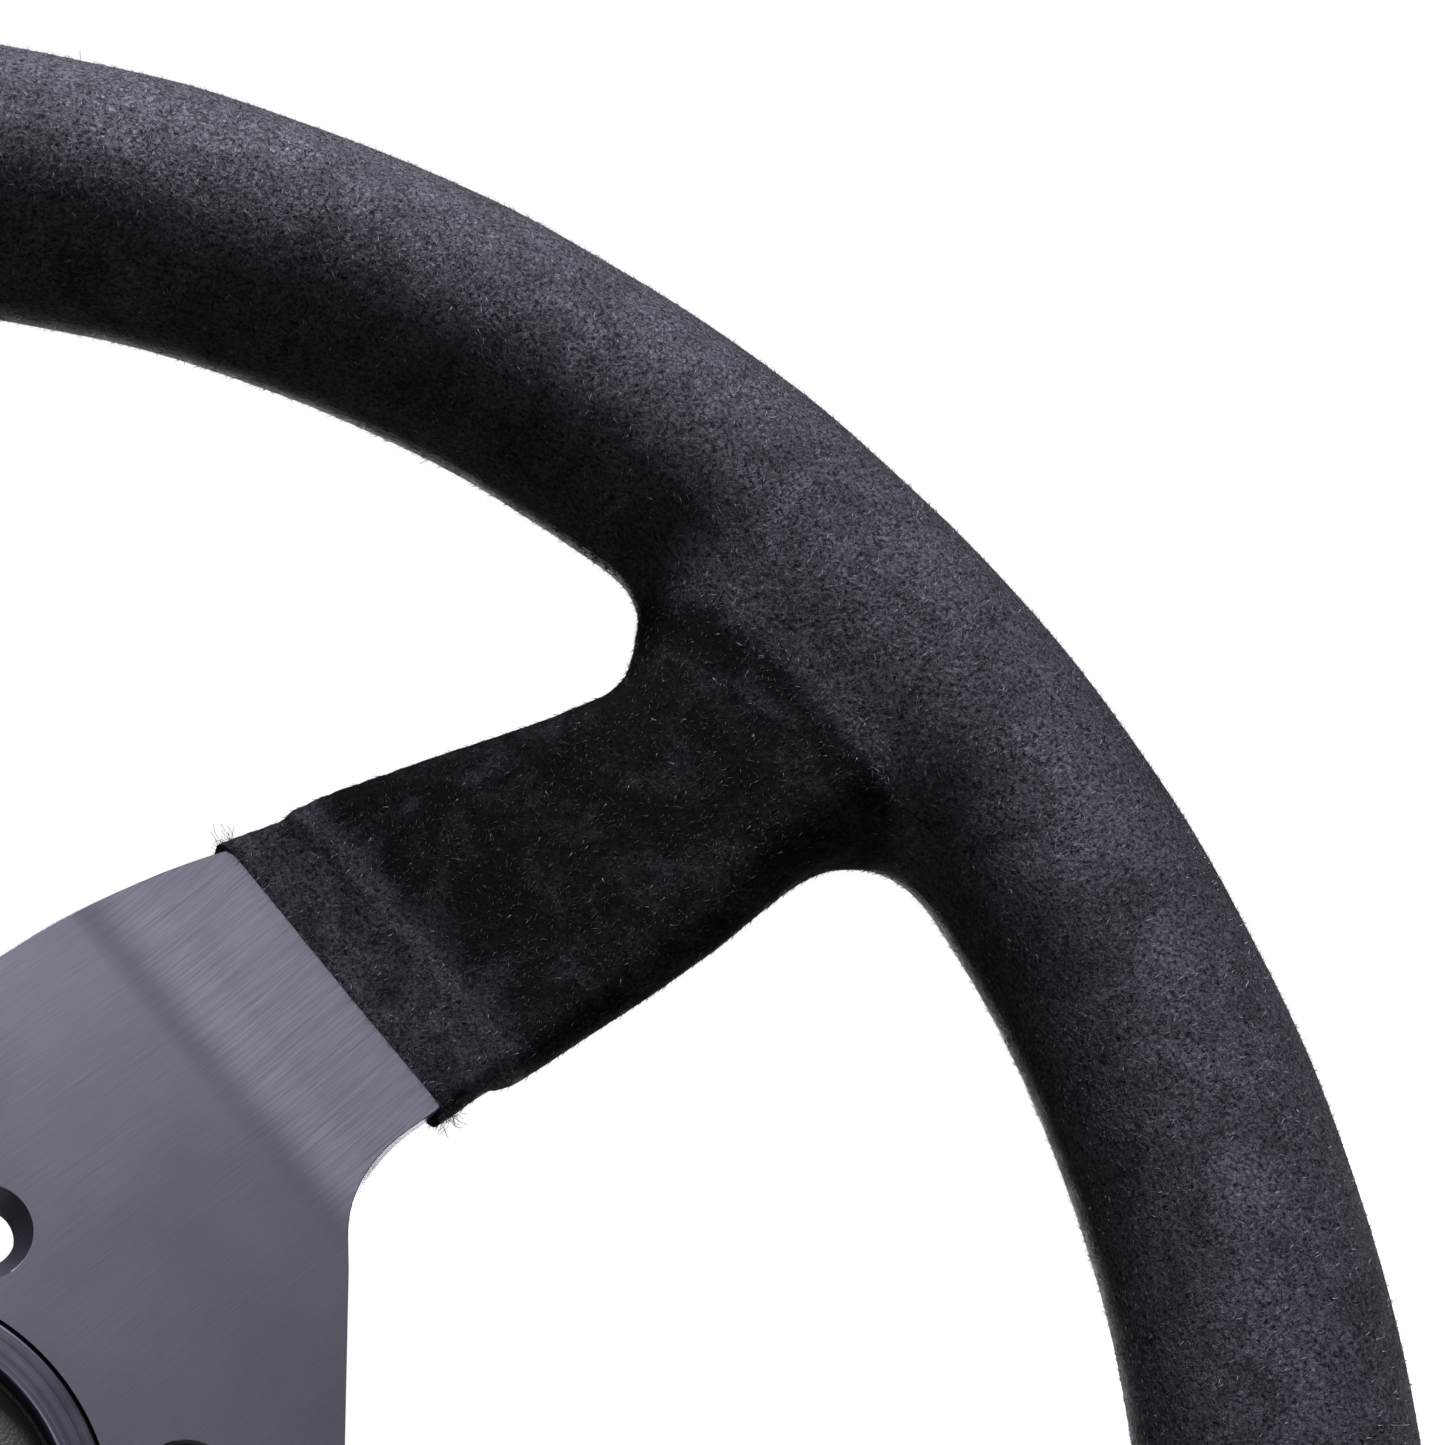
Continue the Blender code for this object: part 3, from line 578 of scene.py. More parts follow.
def add_fibres(name, triangles, per_mm2, finishes, rng):
    """Short fibres over a surface, most lying along the nap, light ones where the suede is made light,
    the painted highlight on the rim's outer half included.
    """
    roots, normals = scattered(triangles, per_mm2, suede_crowding, rng)
    count = len(roots)
    lay = unit(nap_direction(roots, normals) + FIBRE_WILD * rng.normal(size=(count, 3)))
    lay = unit(lay - normals * (lay * normals).sum(1, keepdims=True))
    rise = FIBRE_LIFT * rng.uniform(0.4, 1.6, (count, 1))
    directions = unit(lay + normals * rise)
    lengths = rng.uniform(*FIBRE_LENGTH, count) * MM
    radius = rng.uniform(*FIBRE_RADIUS, count) * MM
    vertices, faces = fibre_spikes(roots - normals * 0.03 * MM, directions, lengths, radius)
    piece = add_piece(name, fast_mesh(name, vertices, faces), finishes[0], 0)
    for finish in finishes[1:]:
        piece.data.materials.append(finish)
    # pale fibres gather where the suede is made light, so they also follow the painted highlight on the
    # rim's outer half
    lightness_with_painted_highlight = 0.25 + 0.75 * nap_tone_and_painted_highlight(roots)
    luck = rng.random(count)
    tone = (luck < 0.62 * lightness_with_painted_highlight).astype(int) + (luck < 0.13 * lightness_with_painted_highlight)
    piece.data.polygons.foreach_set("material_index", np.repeat(tone, 4))


def make_fibres(finishes):
    """The nap of the rim's cover in three parts, and of each sleeve."""
    rng = np.random.default_rng(11)
    cover = piece_surface["suede_rim_cover"]
    middles = cover.mean(1)
    turn = np.degrees(np.arctan2(middles[:, 2], middles[:, 0])) % 360
    for part, start in enumerate((0, 120, 240), start=1):
        chosen = cover[(turn >= start) & (turn < start + 120)]
        add_fibres(f"suede_nap_rim_{part}", chosen, 1.25, finishes, rng)
    for arm in ARMS:
        add_fibres(f"suede_nap_{arm}", piece_surface[f"suede_sleeve_{arm}"], 1.4, finishes, rng)


# ---- finishes

def add_node(tree, kind, inputs=None, **settings):
    """Add a node with its settings, and fill its inputs from numbers or other nodes' outputs."""
    made = tree.nodes.new(kind)
    for setting, value in settings.items():
        setattr(made, setting, value)
    for socket, value in (inputs or {}).items():
        if isinstance(value, bpy.types.NodeSocket):
            tree.links.new(value, made.inputs[socket])
        else:
            made.inputs[socket].default_value = value
    return made


def show_camera(tree, output, shown, unseen):
    """Finish a tree that shows the camera one shader, and everything else another."""
    seen = add_node(tree, "ShaderNodeLightPath").outputs["Is Camera Ray"]
    inputs = {0: seen, 1: unseen.outputs[0], 2: shown.outputs[0]}
    both = add_node(tree, "ShaderNodeMixShader", inputs)
    add_node(tree, output, {"Surface": both.outputs[0]})


class Finish:
    """One procedural material, put together node by node in object coordinates."""

    def __init__(self, name, **constants):
        self.material = bpy.data.materials.new(name)
        self.material.use_nodes = True
        self.tree = self.material.node_tree
        self.shader = self.tree.nodes["Principled BSDF"]
        for socket, value in constants.items():
            label = socket.replace("_", " ").title().replace("Ior", "IOR")
            self.shader.inputs[label].default_value = value
        self.place = self.node("ShaderNodeTexCoord").outputs["Object"]

    def node(self, kind, inputs=None, **settings):
        """Add a node to this material."""
        return add_node(self.tree, kind, inputs, **settings)

    def feed(self, socket, value):
        """Link an output to one of the shader's inputs."""
        self.tree.links.new(value, self.shader.inputs[socket])

    def grain(self, vector, scale, detail, rough, twist=0.0, **settings):
        """Noise over any coordinates."""
        inputs = {"Vector": vector, "Scale": scale, "Detail": detail, "Roughness": rough}
        inputs["Distortion"] = twist
        return self.node("ShaderNodeTexNoise", inputs, **settings).outputs["Fac"]

    def noise(self, size, detail=3.0, rough=0.5, twist=0.0):
        """Noise whose blotches are about size metres wide."""
        return self.grain(self.place, 0.5 / size, detail, rough, twist)

    def streaks(self, scale):
        """Noise drawn out along the axes whose scale is small."""
        drawn = self.node("ShaderNodeMapping", {"Vector": self.place, "Scale": scale})
        return self.grain(drawn.outputs["Vector"], 1.0, 2, 0.6)

    def spread(self, value, low, high, out_low=0.0, out_high=1.0):
        """Stretch a value's range from low..high to out_low..out_high, clamped."""
        inputs = {"Value": value, "From Min": low, "From Max": high}
        inputs.update({"To Min": out_low, "To Max": out_high})
        return self.node("ShaderNodeMapRange", inputs).outputs["Result"]

    def sums(self, a, b, operation="ADD"):
        """Arithmetic on two values."""
        return self.node("ShaderNodeMath", {0: a, 1: b}, operation=operation).outputs["Value"]

    def blend(self, a, share_a, b, share_b):
        """The weighed sum of two values."""
        return self.sums(self.sums(a, share_a, "MULTIPLY"), self.sums(b, share_b, "MULTIPLY"))

    def mixed(self, share, a, b):
        """Mix two colours by share."""
        return self.node("ShaderNodeMix", {0: share, 6: a, 7: b}, data_type="RGBA").outputs[2]

    def stain(self, value, low, high, dark, light):
        """Let the colour go from dark to light while a value goes from low to high."""
        self.feed("Base Color", self.mixed(self.spread(value, low, high), dark, light))

    def roughen(self, value, low, high, smoothest, roughest):
        """Let the roughness follow a value that goes from low to high."""
        self.feed("Roughness", self.spread(value, low, high, smoothest, roughest))

    def bumps(self, *layers):
        """Bump maps, one upon another: (height, depth in metres)."""
        normal = None
        for height, depth in layers:
            inputs = {"Height": height, "Distance": depth, "Strength": 1.0}
            if normal:
                inputs["Normal"] = normal
            normal = self.node("ShaderNodeBump", inputs).outputs["Normal"]
        self.feed("Normal", normal)


def grey(value, tint=(1, 1, 1)):
    """A colour as a shader wants it."""
    return (value * tint[0], value * tint[1], value * tint[2], 1)


def fibre_finishes():
    """Three shades for single fibres: dyed through, worn, and dusty."""
    shades = (("dark", 0.006), ("worn", 0.042), ("dusty", 0.20))
    return [Finish(f"suede_fibre_{name}", base_color=grey(tone, SUEDE_TINT), roughness=0.55).material
            for name, tone in shades]


def suede_finish():
    """Brushed black suede: laid nap in soft patches, fine fibres that catch the light, and a painted
    highlight on the rim's outer half with painted shade on its inner half.
    """
    finish = Finish("suede", specular_tint=(0.84, 0.86, 1.0, 1))
    # the nap attribute brings painted highlight and painted shade on the rim into the base colour,
    # beside real patches of laid nap
    nap_and_painted_highlight = finish.node("ShaderNodeAttribute", attribute_name="nap").outputs["Fac"]
    patches = finish.spread(finish.noise(4 * MM, 4, 0.7, 1.0), 0.3, 0.7, -0.36, 0.30)
    light = finish.sums(nap_and_painted_highlight, patches)
    grains = finish.noise(0.24 * MM, 4, 0.8, 0.6)
    speckle = finish.spread(grains, 0.38, 0.66)
    share = finish.spread(light, 0, 1)
    tone = finish.mixed(share, grey(0.0008, SUEDE_TINT), grey(0.0025, SUEDE_TINT))
    dust = finish.mixed(share, grey(0.006, SUEDE_TINT), grey(0.040, SUEDE_TINT))
    finish.feed("Base Color", finish.mixed(speckle, tone, dust))
    finish.roughen(finish.blend(light, 0.62, speckle, 0.38), 0.0, 1.0, 0.80, 0.36)
    shine = finish.sums(finish.sums(light, 0.12), speckle, "MULTIPLY")
    finish.feed("Specular IOR Level", finish.spread(shine, 0.0, 1.0, 0.06, 0.80))
    finish.bumps((grains, 0.26 * MM))
    return finish.material


def plate_finish():
    """Dark anodised aluminium, brushed from left to right before it was bent."""
    finish = Finish("plate_anodised", metallic=1.0)
    lines = finish.streaks((170, 170, 8500))
    brushed = finish.blend(lines, 0.65, finish.streaks((60, 60, 4200)), 0.35)
    dark, light = (0.118, 0.111, 0.138, 1), (0.186, 0.175, 0.214, 1)
    tone = finish.mixed(finish.spread(brushed, 0.32, 0.68), dark, light)
    specks = finish.node("ShaderNodeTexVoronoi", {"Vector": finish.place, "Scale": 110.0})
    share = finish.spread(specks.outputs["Distance"], 0.010, 0.016, 0.75, 0)
    finish.feed("Base Color", finish.mixed(share, tone, (0.55, 0.54, 0.56, 1)))
    clouds = finish.spread(finish.noise(14 * MM, 3, 0.55), 0.3, 0.7, 0.345, 0.385)
    finish.feed("Roughness", finish.sums(finish.spread(brushed, 0.3, 0.7, 0.03, -0.03), clouds))
    finish.bumps((brushed, 0.010 * MM))
    return finish.material


def turned_metal(name, dark, light, roughness):
    """Metal with fine tool marks round the steering axis and soft stains."""
    finish = Finish(name, metallic=1.0)
    parts = finish.node("ShaderNodeSeparateXYZ", {0: finish.place}).outputs
    squares = finish.sums(finish.sums(parts["X"], 2, "POWER"), finish.sums(parts["Z"], 2, "POWER"))
    radius = finish.sums(squares, 0.5, "POWER")
    rings = finish.node("ShaderNodeCombineXYZ", {"X": radius, "Y": parts["Y"]}).outputs["Vector"]
    marks = finish.grain(rings, 0.5 / TOOL_MARK, 3.0, 0.6, noise_dimensions="2D")
    both = finish.blend(marks, 0.5, finish.noise(6 * MM, 4, 0.6, 0.5), 0.5)
    finish.stain(both, 0.36, 0.64, dark, light)
    finish.roughen(both, 0.3, 0.7, roughness - 0.06, roughness + 0.08)
    finish.bumps((marks, 0.006 * MM))
    return finish.material


def cast_metal(name, dark, light, roughness):
    """Rolled, drawn or blackened metal with a fine even grain."""
    finish = Finish(name, metallic=1.0)
    fine = finish.noise(0.25 * MM, 3, 0.65)
    stains = finish.noise(4 * MM, 4, 0.6, 0.6)
    finish.stain(stains, 0.35, 0.65, dark, light)
    finish.roughen(finish.blend(fine, 0.4, stains, 0.6), 0.3, 0.7, roughness - 0.08, roughness + 0.10)
    finish.bumps((fine, 0.010 * MM))
    return finish.material


def moulded_finish(name, tone, roughness, grain, depth):
    """Moulded plastic, rubber or foam with a pebbled skin. Grain and depth are in millimetres."""
    finish = Finish(name, specular_ior_level=0.4)
    cells = finish.node("ShaderNodeTexVoronoi", {"Vector": finish.place, "Scale": 1 / (grain * MM)})
    pebbles = finish.spread(cells.outputs["Distance"], 0.0, 0.8)
    clouds = finish.noise(5 * MM, 3, 0.6)
    finish.stain(clouds, 0.3, 0.7, grey(tone * 0.75), grey(tone * 1.3))
    finish.roughen(clouds, 0.3, 0.7, roughness - 0.06, roughness + 0.08)
    finish.bumps((pebbles, depth * MM), (finish.noise(0.1 * MM, 2, 0.6), 0.02 * MM))
    return finish.material


def thread_finish():
    """Waxed black polyester thread, its twist shown by fine slanting lines."""
    finish = Finish("thread")
    strands = finish.noise(0.12 * MM, 3, 0.6, 1.5)
    finish.stain(strands, 0.35, 0.65, grey(0.010), grey(0.045))
    finish.roughen(strands, 0.3, 0.7, 0.42, 0.62)
    finish.bumps((strands, 0.05 * MM))
    return finish.material


# ---- metal parts

def turned(name, outline, steps=180):
    """Turn an outline of (radius, depth) points in millimetres about the steering axis."""
    bm = bmesh.new()
    points = [bm.verts.new((r * MM, y * MM, 0)) for r, y in outline]
    edges = [bm.edges.new(pair) for pair in zip(points, points[1:])]
    if outline[0][0] > 0:
        edges.append(bm.edges.new((points[-1], points[0])))
    axis = dict(cent=(0, 0, 0), axis=(0, 1, 0))
    bmesh.ops.spin(bm, geom=points + edges, angle=2 * math.pi, steps=steps, **axis)
    bmesh.ops.remove_doubles(bm, verts=bm.verts, dist=SNAP)
    bmesh.ops.recalc_face_normals(bm, faces=bm.faces)
    return mesh_from(name, bm)


def rounded_outline(corners):
    """Points of a closed outline whose corners are (x, z, fillet radius), in millimetres."""
    points = []
    for i, (x, z, radius) in enumerate(corners):
        corner = Vector((x, z))
        before = (Vector(corners[i - 1][:2]) - corner).normalized()
        after = (Vector(corners[(i + 1) % len(corners)][:2]) - corner).normalized()
        half = before.angle(after) / 2
        centre = corner + (before + after).normalized() * (radius / math.sin(half))
        first = corner + before * (radius / math.tan(half)) - centre
        turn = math.copysign(math.pi - 2 * half, before.y * after.x - before.x * after.y)
        steps = max(2, round(math.degrees(abs(turn)) / ARC_STEP_DEG)) if radius else 0
        for k in range(steps + 1):
            points.append(centre + Matrix.Rotation(turn * k / max(steps, 1), 2) @ first)
    return points


def plate_corners():
    """The corners of the spoke plate's outline with their fillet radii, in millimetres."""
    right = [(u, v, r) for (u, v), r in zip(SIDE_UPPER, (50, 60, 60, 6, 0))]
    right += [(u, v, r) for (u, v), r in reversed(list(zip(SIDE_LOWER, (14, 60, 30, 0))))]
    right += [(v, -u, r) for (u, v), r in zip(DOWN_EDGE, (14, 60, 30, 0))]
    left = [(-x, z, r) for x, z, r in reversed(right)]
    return [(0, 42.8, 400)] + right + left


def on_arm(u, forward):
    """Where a point of the flat plate goes when its arm is bent: along the arm, and in depth."""
    middle, angle = arm_line(np.array([u]))
    return u - forward * math.sin(angle[0]), middle[0] - forward * math.cos(angle[0])


def cut_with(piece, mesh, places):
    """Subtract copies of a cutter, moved to each of the places, from a piece."""
    for place in places:
        cutter = linked("cutter", mesh)
        cutter.location = place
        cut = piece.modifiers.new("cut", "BOOLEAN")
        cut.operation, cut.object, cut.solver = "DIFFERENCE", cutter, "EXACT"
    applied(piece)
    for cutter in [o for o in bpy.data.objects if o.name.startswith("cutter")]:
        bpy.data.objects.remove(cutter)


def add_bevel(piece, width, segments, angle):
    """Round edges sharper than angle, in degrees, by a width in millimetres."""
    bevel = piece.modifiers.new("edge", "BEVEL")
    bevel.width, bevel.segments = width * MM, segments
    bevel.limit_method, bevel.angle_limit = "ANGLE", math.radians(angle)
    bevel.use_clamp_overlap = True


def flat_normals(piece, angle):
    """Shade a piece smooth up to an angle, its normals laid flat on its large faces."""
    shade(piece.data, angle)
    piece.modifiers.new("normals", "WEIGHTED_NORMAL").keep_sharp = True
    applied(piece)


def round_edges(piece, width, segments):
    """Round a piece's sharp edges and lay its normals flat on its large faces."""
    add_bevel(piece, width, segments, 40)
    applied(piece)
    flat_normals(piece, 50)


def make_plate(finish):
    """The spoke plate at full smoothness: its outline, bends, rounded edges, bore and holes."""
    bm = bmesh.new()
    outline = rounded_outline(plate_corners())
    bm.faces.new([bm.verts.new((p.x * MM, 0, p.y * MM)) for p in outline])
    for u in [start + RISE_BLEND * k / 8 for start in (RISE_START, RISE_END) for k in range(-8, 9)]:
        for place in ((u, 0, 0), (-u, 0, 0), (0, 0, -u)):
            cut_across(bm, place, (0, 0, 1) if place[2] else (1, 0, 0), SNAP)
    grown = bmesh.ops.extrude_face_region(bm, geom=bm.faces[:])["geom"]
    front = {g for g in grown if isinstance(g, bmesh.types.BMVert)}
    for vert in bm.verts:
        forward = PLATE_T / 2 if vert in front else -PLATE_T / 2
        side_arm = abs(vert.co.x) > RISE_START - RISE_BLEND
        u = abs(vert.co.x) if side_arm else max(0.0, -vert.co.z)
        along, depth = on_arm(u, forward)
        if side_arm:
            vert.co.x = math.copysign(along, vert.co.x)
        elif u > RISE_START - RISE_BLEND:
            vert.co.z = -along
        vert.co.y = depth
    bmesh.ops.recalc_face_normals(bm, faces=bm.faces)
    mesh = mesh_from("plate", bm)
    plate = add_piece("spoke_plate_brushed", mesh, finish, 0)
    round_edges(plate, 1.35, 5)
    face, back = PLATE_FRONT / MM, PLATE_BACK / MM
    bore_r, hole_r, sink_r = 27.5, 3.45, 5.4
    bore = [(0, face - 3), (bore_r, face - 3), (bore_r, back + 3), (0, back + 3)]
    cut_with(plate, turned("bore", bore), [(0, 0, 0)])
    sink = [(0, face - 2), (sink_r, face - 2), (sink_r, face - 0.12), (sink_r - 0.2, face + 0.12)]
    sink += [(hole_r, face + 1.87), (hole_r, back + 2), (0, back + 2)]
    angles = np.radians(range(30, 390, 60))
    cut_with(plate, turned("sink", sink, 72), about_axis(BOLT_CIRCLE_R, 0, angles))
    flat_normals(plate, 35)
    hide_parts("spoke_plate")


# ---- foam, seams and loose hairs

def slope_of(distance, points):
    """The slope of a distance function at points."""
    step = 0.02 * MM
    parts = [distance(points + step * axis) - distance(points - step * axis) for axis in np.eye(3)]
    return np.stack(parts, 1) / (2 * step)


def make_foam(finish):
    """The moulded foam: a ring under the rim's cover, and a pad round each spoke."""
    rows, per_row, room = 180, 48, SUEDE_T + 0.25 * MM
    mesh = grid_mesh("foam_ring", ring_points(rows, per_row, room), tube_faces(rows, per_row, True))
    ring = add_piece("foam_ring", mesh, finish, 60)
    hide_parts("rim_foam")
    stations = np.append(np.linspace(84.9, 88, 4), np.linspace(90, 122, 17)) * MM
    per_corner = 7
    for arm in ARMS:
        vertices = []
        for u in stations:
            high, low, front, back, corner = sleeve_section(u, arm, "lower")
            round_by = max(0.4 * MM, corner - room)
            middle, angle = arm_line(u)
            inset = room + round_by
            corners = [(high - inset, front - inset), (low + inset, front - inset)]
            corners += [(low + inset, inset - back), (high - inset, inset - back)]
            for k in range(4 * per_corner):
                quarter, step = divmod(k, per_corner)
                bend = math.radians(90 * (quarter + step / (per_corner - 1)))
                v = corners[quarter][0] + round_by * math.cos(bend)
                w = corners[quarter][1] + round_by * math.sin(bend)
                vertices.append(from_arm(u, v, middle - w * math.cos(angle), arm))
        faces = tube_faces(len(stations), 4 * per_corner, False)
        mesh = grid_mesh(f"foam_pad_{arm}", vertices, faces)
        pad = add_piece(f"foam_pad_{arm}", mesh, finish, 50)
        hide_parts(f"spoke_pad_{arm}")


def swept(path, radius, sides):
    """A round tube along an array of points, as vertices and faces."""
    ahead = np.roll(path, -1, 0) - np.roll(path, 1, 0)
    ahead[0], ahead[-1] = path[1] - path[0], path[-1] - path[-2]
    ahead = unit(ahead)
    aside = np.cross(ahead, (0.31, 0.92, 0.23))
    for k in range(len(path)):
        last = aside[max(k - 1, 0)]
        aside[k] = last - ahead[k] * last.dot(ahead[k])
        aside[k] /= np.linalg.norm(aside[k])
    across = np.cross(ahead, aside)
    angles = 2 * math.pi * np.arange(sides)[:, None] / sides
    circle = np.cos(angles) * aside[:, None] + np.sin(angles) * across[:, None]
    vertices = (path[:, None] + radius * circle).reshape(-1, 3)
    return vertices, tube_faces(len(path), sides, False)


def many_tubes(name, paths, radius, sides, finish):
    """One piece of several round tubes, in the finish it is given."""
    vertices, faces = [], []
    for path in paths:
        more, corners = swept(path, radius, sides)
        faces += [tuple(k + len(vertices) for k in corner) for corner in corners]
        vertices += list(more)
    add_piece(name, closed_mesh(name, vertices, faces), finish, 60)


def stitch_line(points, pitch):
    """Evenly spaced places on the suede along a seam, with their normals and crosswise directions."""
    points = settle(points, suede_distance, 6)
    lengths = np.append(0, np.cumsum(np.linalg.norm(np.diff(points, axis=0), axis=1)))
    wanted = np.arange(0, lengths[-1], pitch)
    even = np.stack([np.interp(wanted, lengths, points[:, k]) for k in range(3)], 1)
    even = settle(even, suede_distance, 4)
    normals = unit(slope_of(suede_distance, even))
    return even, normals, unit(np.cross(normals, np.gradient(even, axis=0)))


def rim_seam_points():
    """The rim's seam, to the rear, in three runs between the spokes' necks."""
    tilt = math.radians(112)
    radius = RIM_R + GRIP_RADIAL * math.cos(tilt)
    depth = RIM_Y + GRIP_AXIAL * math.sin(tilt)
    for start, end in ((19.5, 163.0), (195.0, 257.0), (283.0, 345.0)):
        yield about_axis(radius, depth, np.radians(np.linspace(start, end, 200)))


def sleeve_seam_points():
    """Each sleeve's seam, down the middle of its back."""
    for arm, (upper, lower) in ARMS.items():
        line = []
        for u in np.linspace(SLEEVE_START + 1.5 * MM, 122 * MM, 60):
            depth = arm_line(u)[0] + sleeve_section(u, arm)[3]
            line.append(from_arm(u, (edge_at(upper, u) + edge_at(lower, u)) / 2, depth, arm))
        yield np.array(line)


def make_seams(suede, thread):
    """The covers' closing seams: two rolled edges drawn together by crossed stitches."""
    share = np.array([0, 0.1, 0.28, 0.5, 0.72, 0.9, 1.0])[:, None]
    for name, lines in (("rim", rim_seam_points()), ("sleeve", sleeve_seam_points())):
        rolls, threads = [], []
        for line in lines:
            fine, normals, across = stitch_line(line, STITCH_PITCH / 4)
            puckers = 0.08 * MM * np.sin(2 * math.pi * np.arange(len(fine)) / 4)[:, None]
            for side in (-1, 1):
                rolls.append(fine + side * ROLL_ASIDE * across + (puckers - 0.15 * MM) * normals)
            places, normals, across = stitch_line(line, STITCH_PITCH)
            for lean in (-1, 1):
                lift = np.array([-0.5, 0.02, 0.42, 0.5 + 0.12 * lean, 0.42, 0.02, -0.5])[:, None] * MM
                for k in range(len(places) - 1):
                    start, end = (places[k], places[k + 1])[::lean]
                    along = start + (end - start) * (0.1 + 0.8 * share)
                    swing = (share - 0.5) * STITCH_WIDTH * across[k]
                    threads.append(along + swing + lift * normals[k])
        many_tubes(f"{name}_seam_rolls", rolls, ROLL_R, 10, suede)
        many_tubes(f"{name}_seam_stitches", threads, THREAD_R, 8, thread)


def hair_paths(roots, directions, lengths, curl, rng):
    """Thin bent hairs, as one array of points for each."""
    paths = []
    for root, heading, length in zip(roots, directions, lengths):
        path = [root]
        turn = rng.normal(size=3) * curl
        for _ in range(6):
            heading = heading + turn + rng.normal(size=3) * 0.12
            heading /= np.linalg.norm(heading)
            path.append(path[-1] + heading * length / 6)
        paths.append(np.array(path))
    return paths


def make_hairs(finish):
    """Frayed tufts at the corners of the sleeves' ends, and a few stray hairs elsewhere."""
    rng = np.random.default_rng(23)
    paths = []
    count = 46
    for arm, (upper, lower) in ARMS.items():
        middle, _ = arm_line(SLEEVE_START)
        outward = np.array(from_arm(1, 0, 0, arm), float)
        for edge, way in ((upper, 1), (lower, -1)):
            side = np.array(from_arm(0, way, 0, arm), float)
            u = SLEEVE_START + rng.uniform(-0.1, 2.2, count) * MM
            v = edge_at(edge, u) + way * rng.uniform(-1.6, 0.7, count) * MM
            y = middle + rng.uniform(-2.6, 1.6, count) * MM
            roots = np.array([from_arm(*place, arm) for place in zip(u, v, y)])
            roots = settle(roots, suede_distance, 5)
            roots += outward * np.maximum(SLEEVE_START - np.abs(roots @ outward), 0)[:, None]
            aim = unit(slope_of(suede_distance, roots)) + side * 0.5
            aim -= outward * rng.uniform(0.1, 1.0, (count, 1))
            lengths = rng.uniform(0.6, 2.4, count) * MM
            aim = unit(aim + 0.45 * rng.normal(size=(count, 3)))
            paths += hair_paths(roots, aim, lengths, 0.16, rng)
    for surface in piece_surface.values():
        roots, normals = scattered(surface, STRAY_HAIRS_PER_MM2, suede_crowding, rng)
        aim = unit(normals * 0.8 + 0.6 * rng.normal(size=(len(roots), 3)))
        lengths = rng.uniform(0.8, 2.2, len(roots)) * MM
        paths += hair_paths(roots, aim, lengths, 0.2, rng)
    many_tubes("suede_stray_hairs", paths, HAIR_R, 3, finish)


# ---- horn, hub, collar and balls

def make_horn_front(bezel_finish, cap_finish):
    """The bezel ring and the push cap, finely turned."""
    face, back = PLATE_FRONT / MM, PLATE_BACK / MM
    inner_r, outer_r = 23.2, 27.2
    bezel = [(inner_r, face + 0.5), (inner_r + 0.15, face + 0.15), (inner_r + 0.5, face)]
    bezel += [(outer_r - 0.45, face), (outer_r - 0.1, face + 0.12), (outer_r, face + 0.4)]
    bezel += [(outer_r, back), (inner_r, back)]
    mesh = turned("bezel", bezel)
    ring = add_piece("horn_bezel_turned", mesh, bezel_finish, 0)
    round_edges(ring, 0.08, 2)
    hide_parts("horn_bezel")
    top, wall_r, foot_r, inside_r = face + 3.0, 22.9, 24.3, 21.2
    cap = [(0, top), (8, top + 0.02), (15, top + 0.10), (20, top + 0.22), (22.0, top + 0.42)]
    cap += [(wall_r - 0.2, top + 0.85), (wall_r, top + 1.5), (wall_r, back + 0.5), (foot_r, back + 0.5)]
    cap += [(foot_r, back + 1.5), (inside_r, back + 1.5), (inside_r, top + 1.8), (0, top + 1.8)]
    mesh = turned("cap", cap, 144)
    button = add_piece("horn_cap_grained", mesh, cap_finish, 40, "horn_button")
    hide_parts("horn_cap")


def spring_piece(name, node, wire_r, turns, finish):
    """A coil spring with closed ends, in the room its CAD solid holds."""
    low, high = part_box(node)
    flat_turns, step = 0.75, 1.05 * wire_r
    all_turns = turns + 2 * flat_turns
    angles = np.linspace(0, 2 * math.pi * all_turns, int(36 * all_turns))
    wound = angles / (2 * math.pi)
    depth = low.y + wire_r + step * np.clip(wound / flat_turns, 0, 1)
    depth += (high.y - low.y - 2 * wire_r - 2 * step) * np.clip((wound - flat_turns) / turns, 0, 1)
    depth += step * np.clip((wound - turns - flat_turns) / flat_turns, 0, 1)
    path = about_axis(high.x - wire_r, depth, angles)
    mesh = closed_mesh(name, *swept(path, wire_r, 12))
    spring = add_piece(name, mesh, finish, 50)
    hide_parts(node)
    return spring, low, high


def make_springs(finish):
    """The horn's spring and the collar's spring, each on a mesh of its own."""
    horn, low, high = spring_piece("horn_spring_coils", "horn_spring", 0.45 * MM, 3, finish)
    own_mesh(horn)
    collar, low, high = spring_piece("collar_spring_coils", "collar_spring", 0.9 * MM, 4, finish)
    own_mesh(collar)


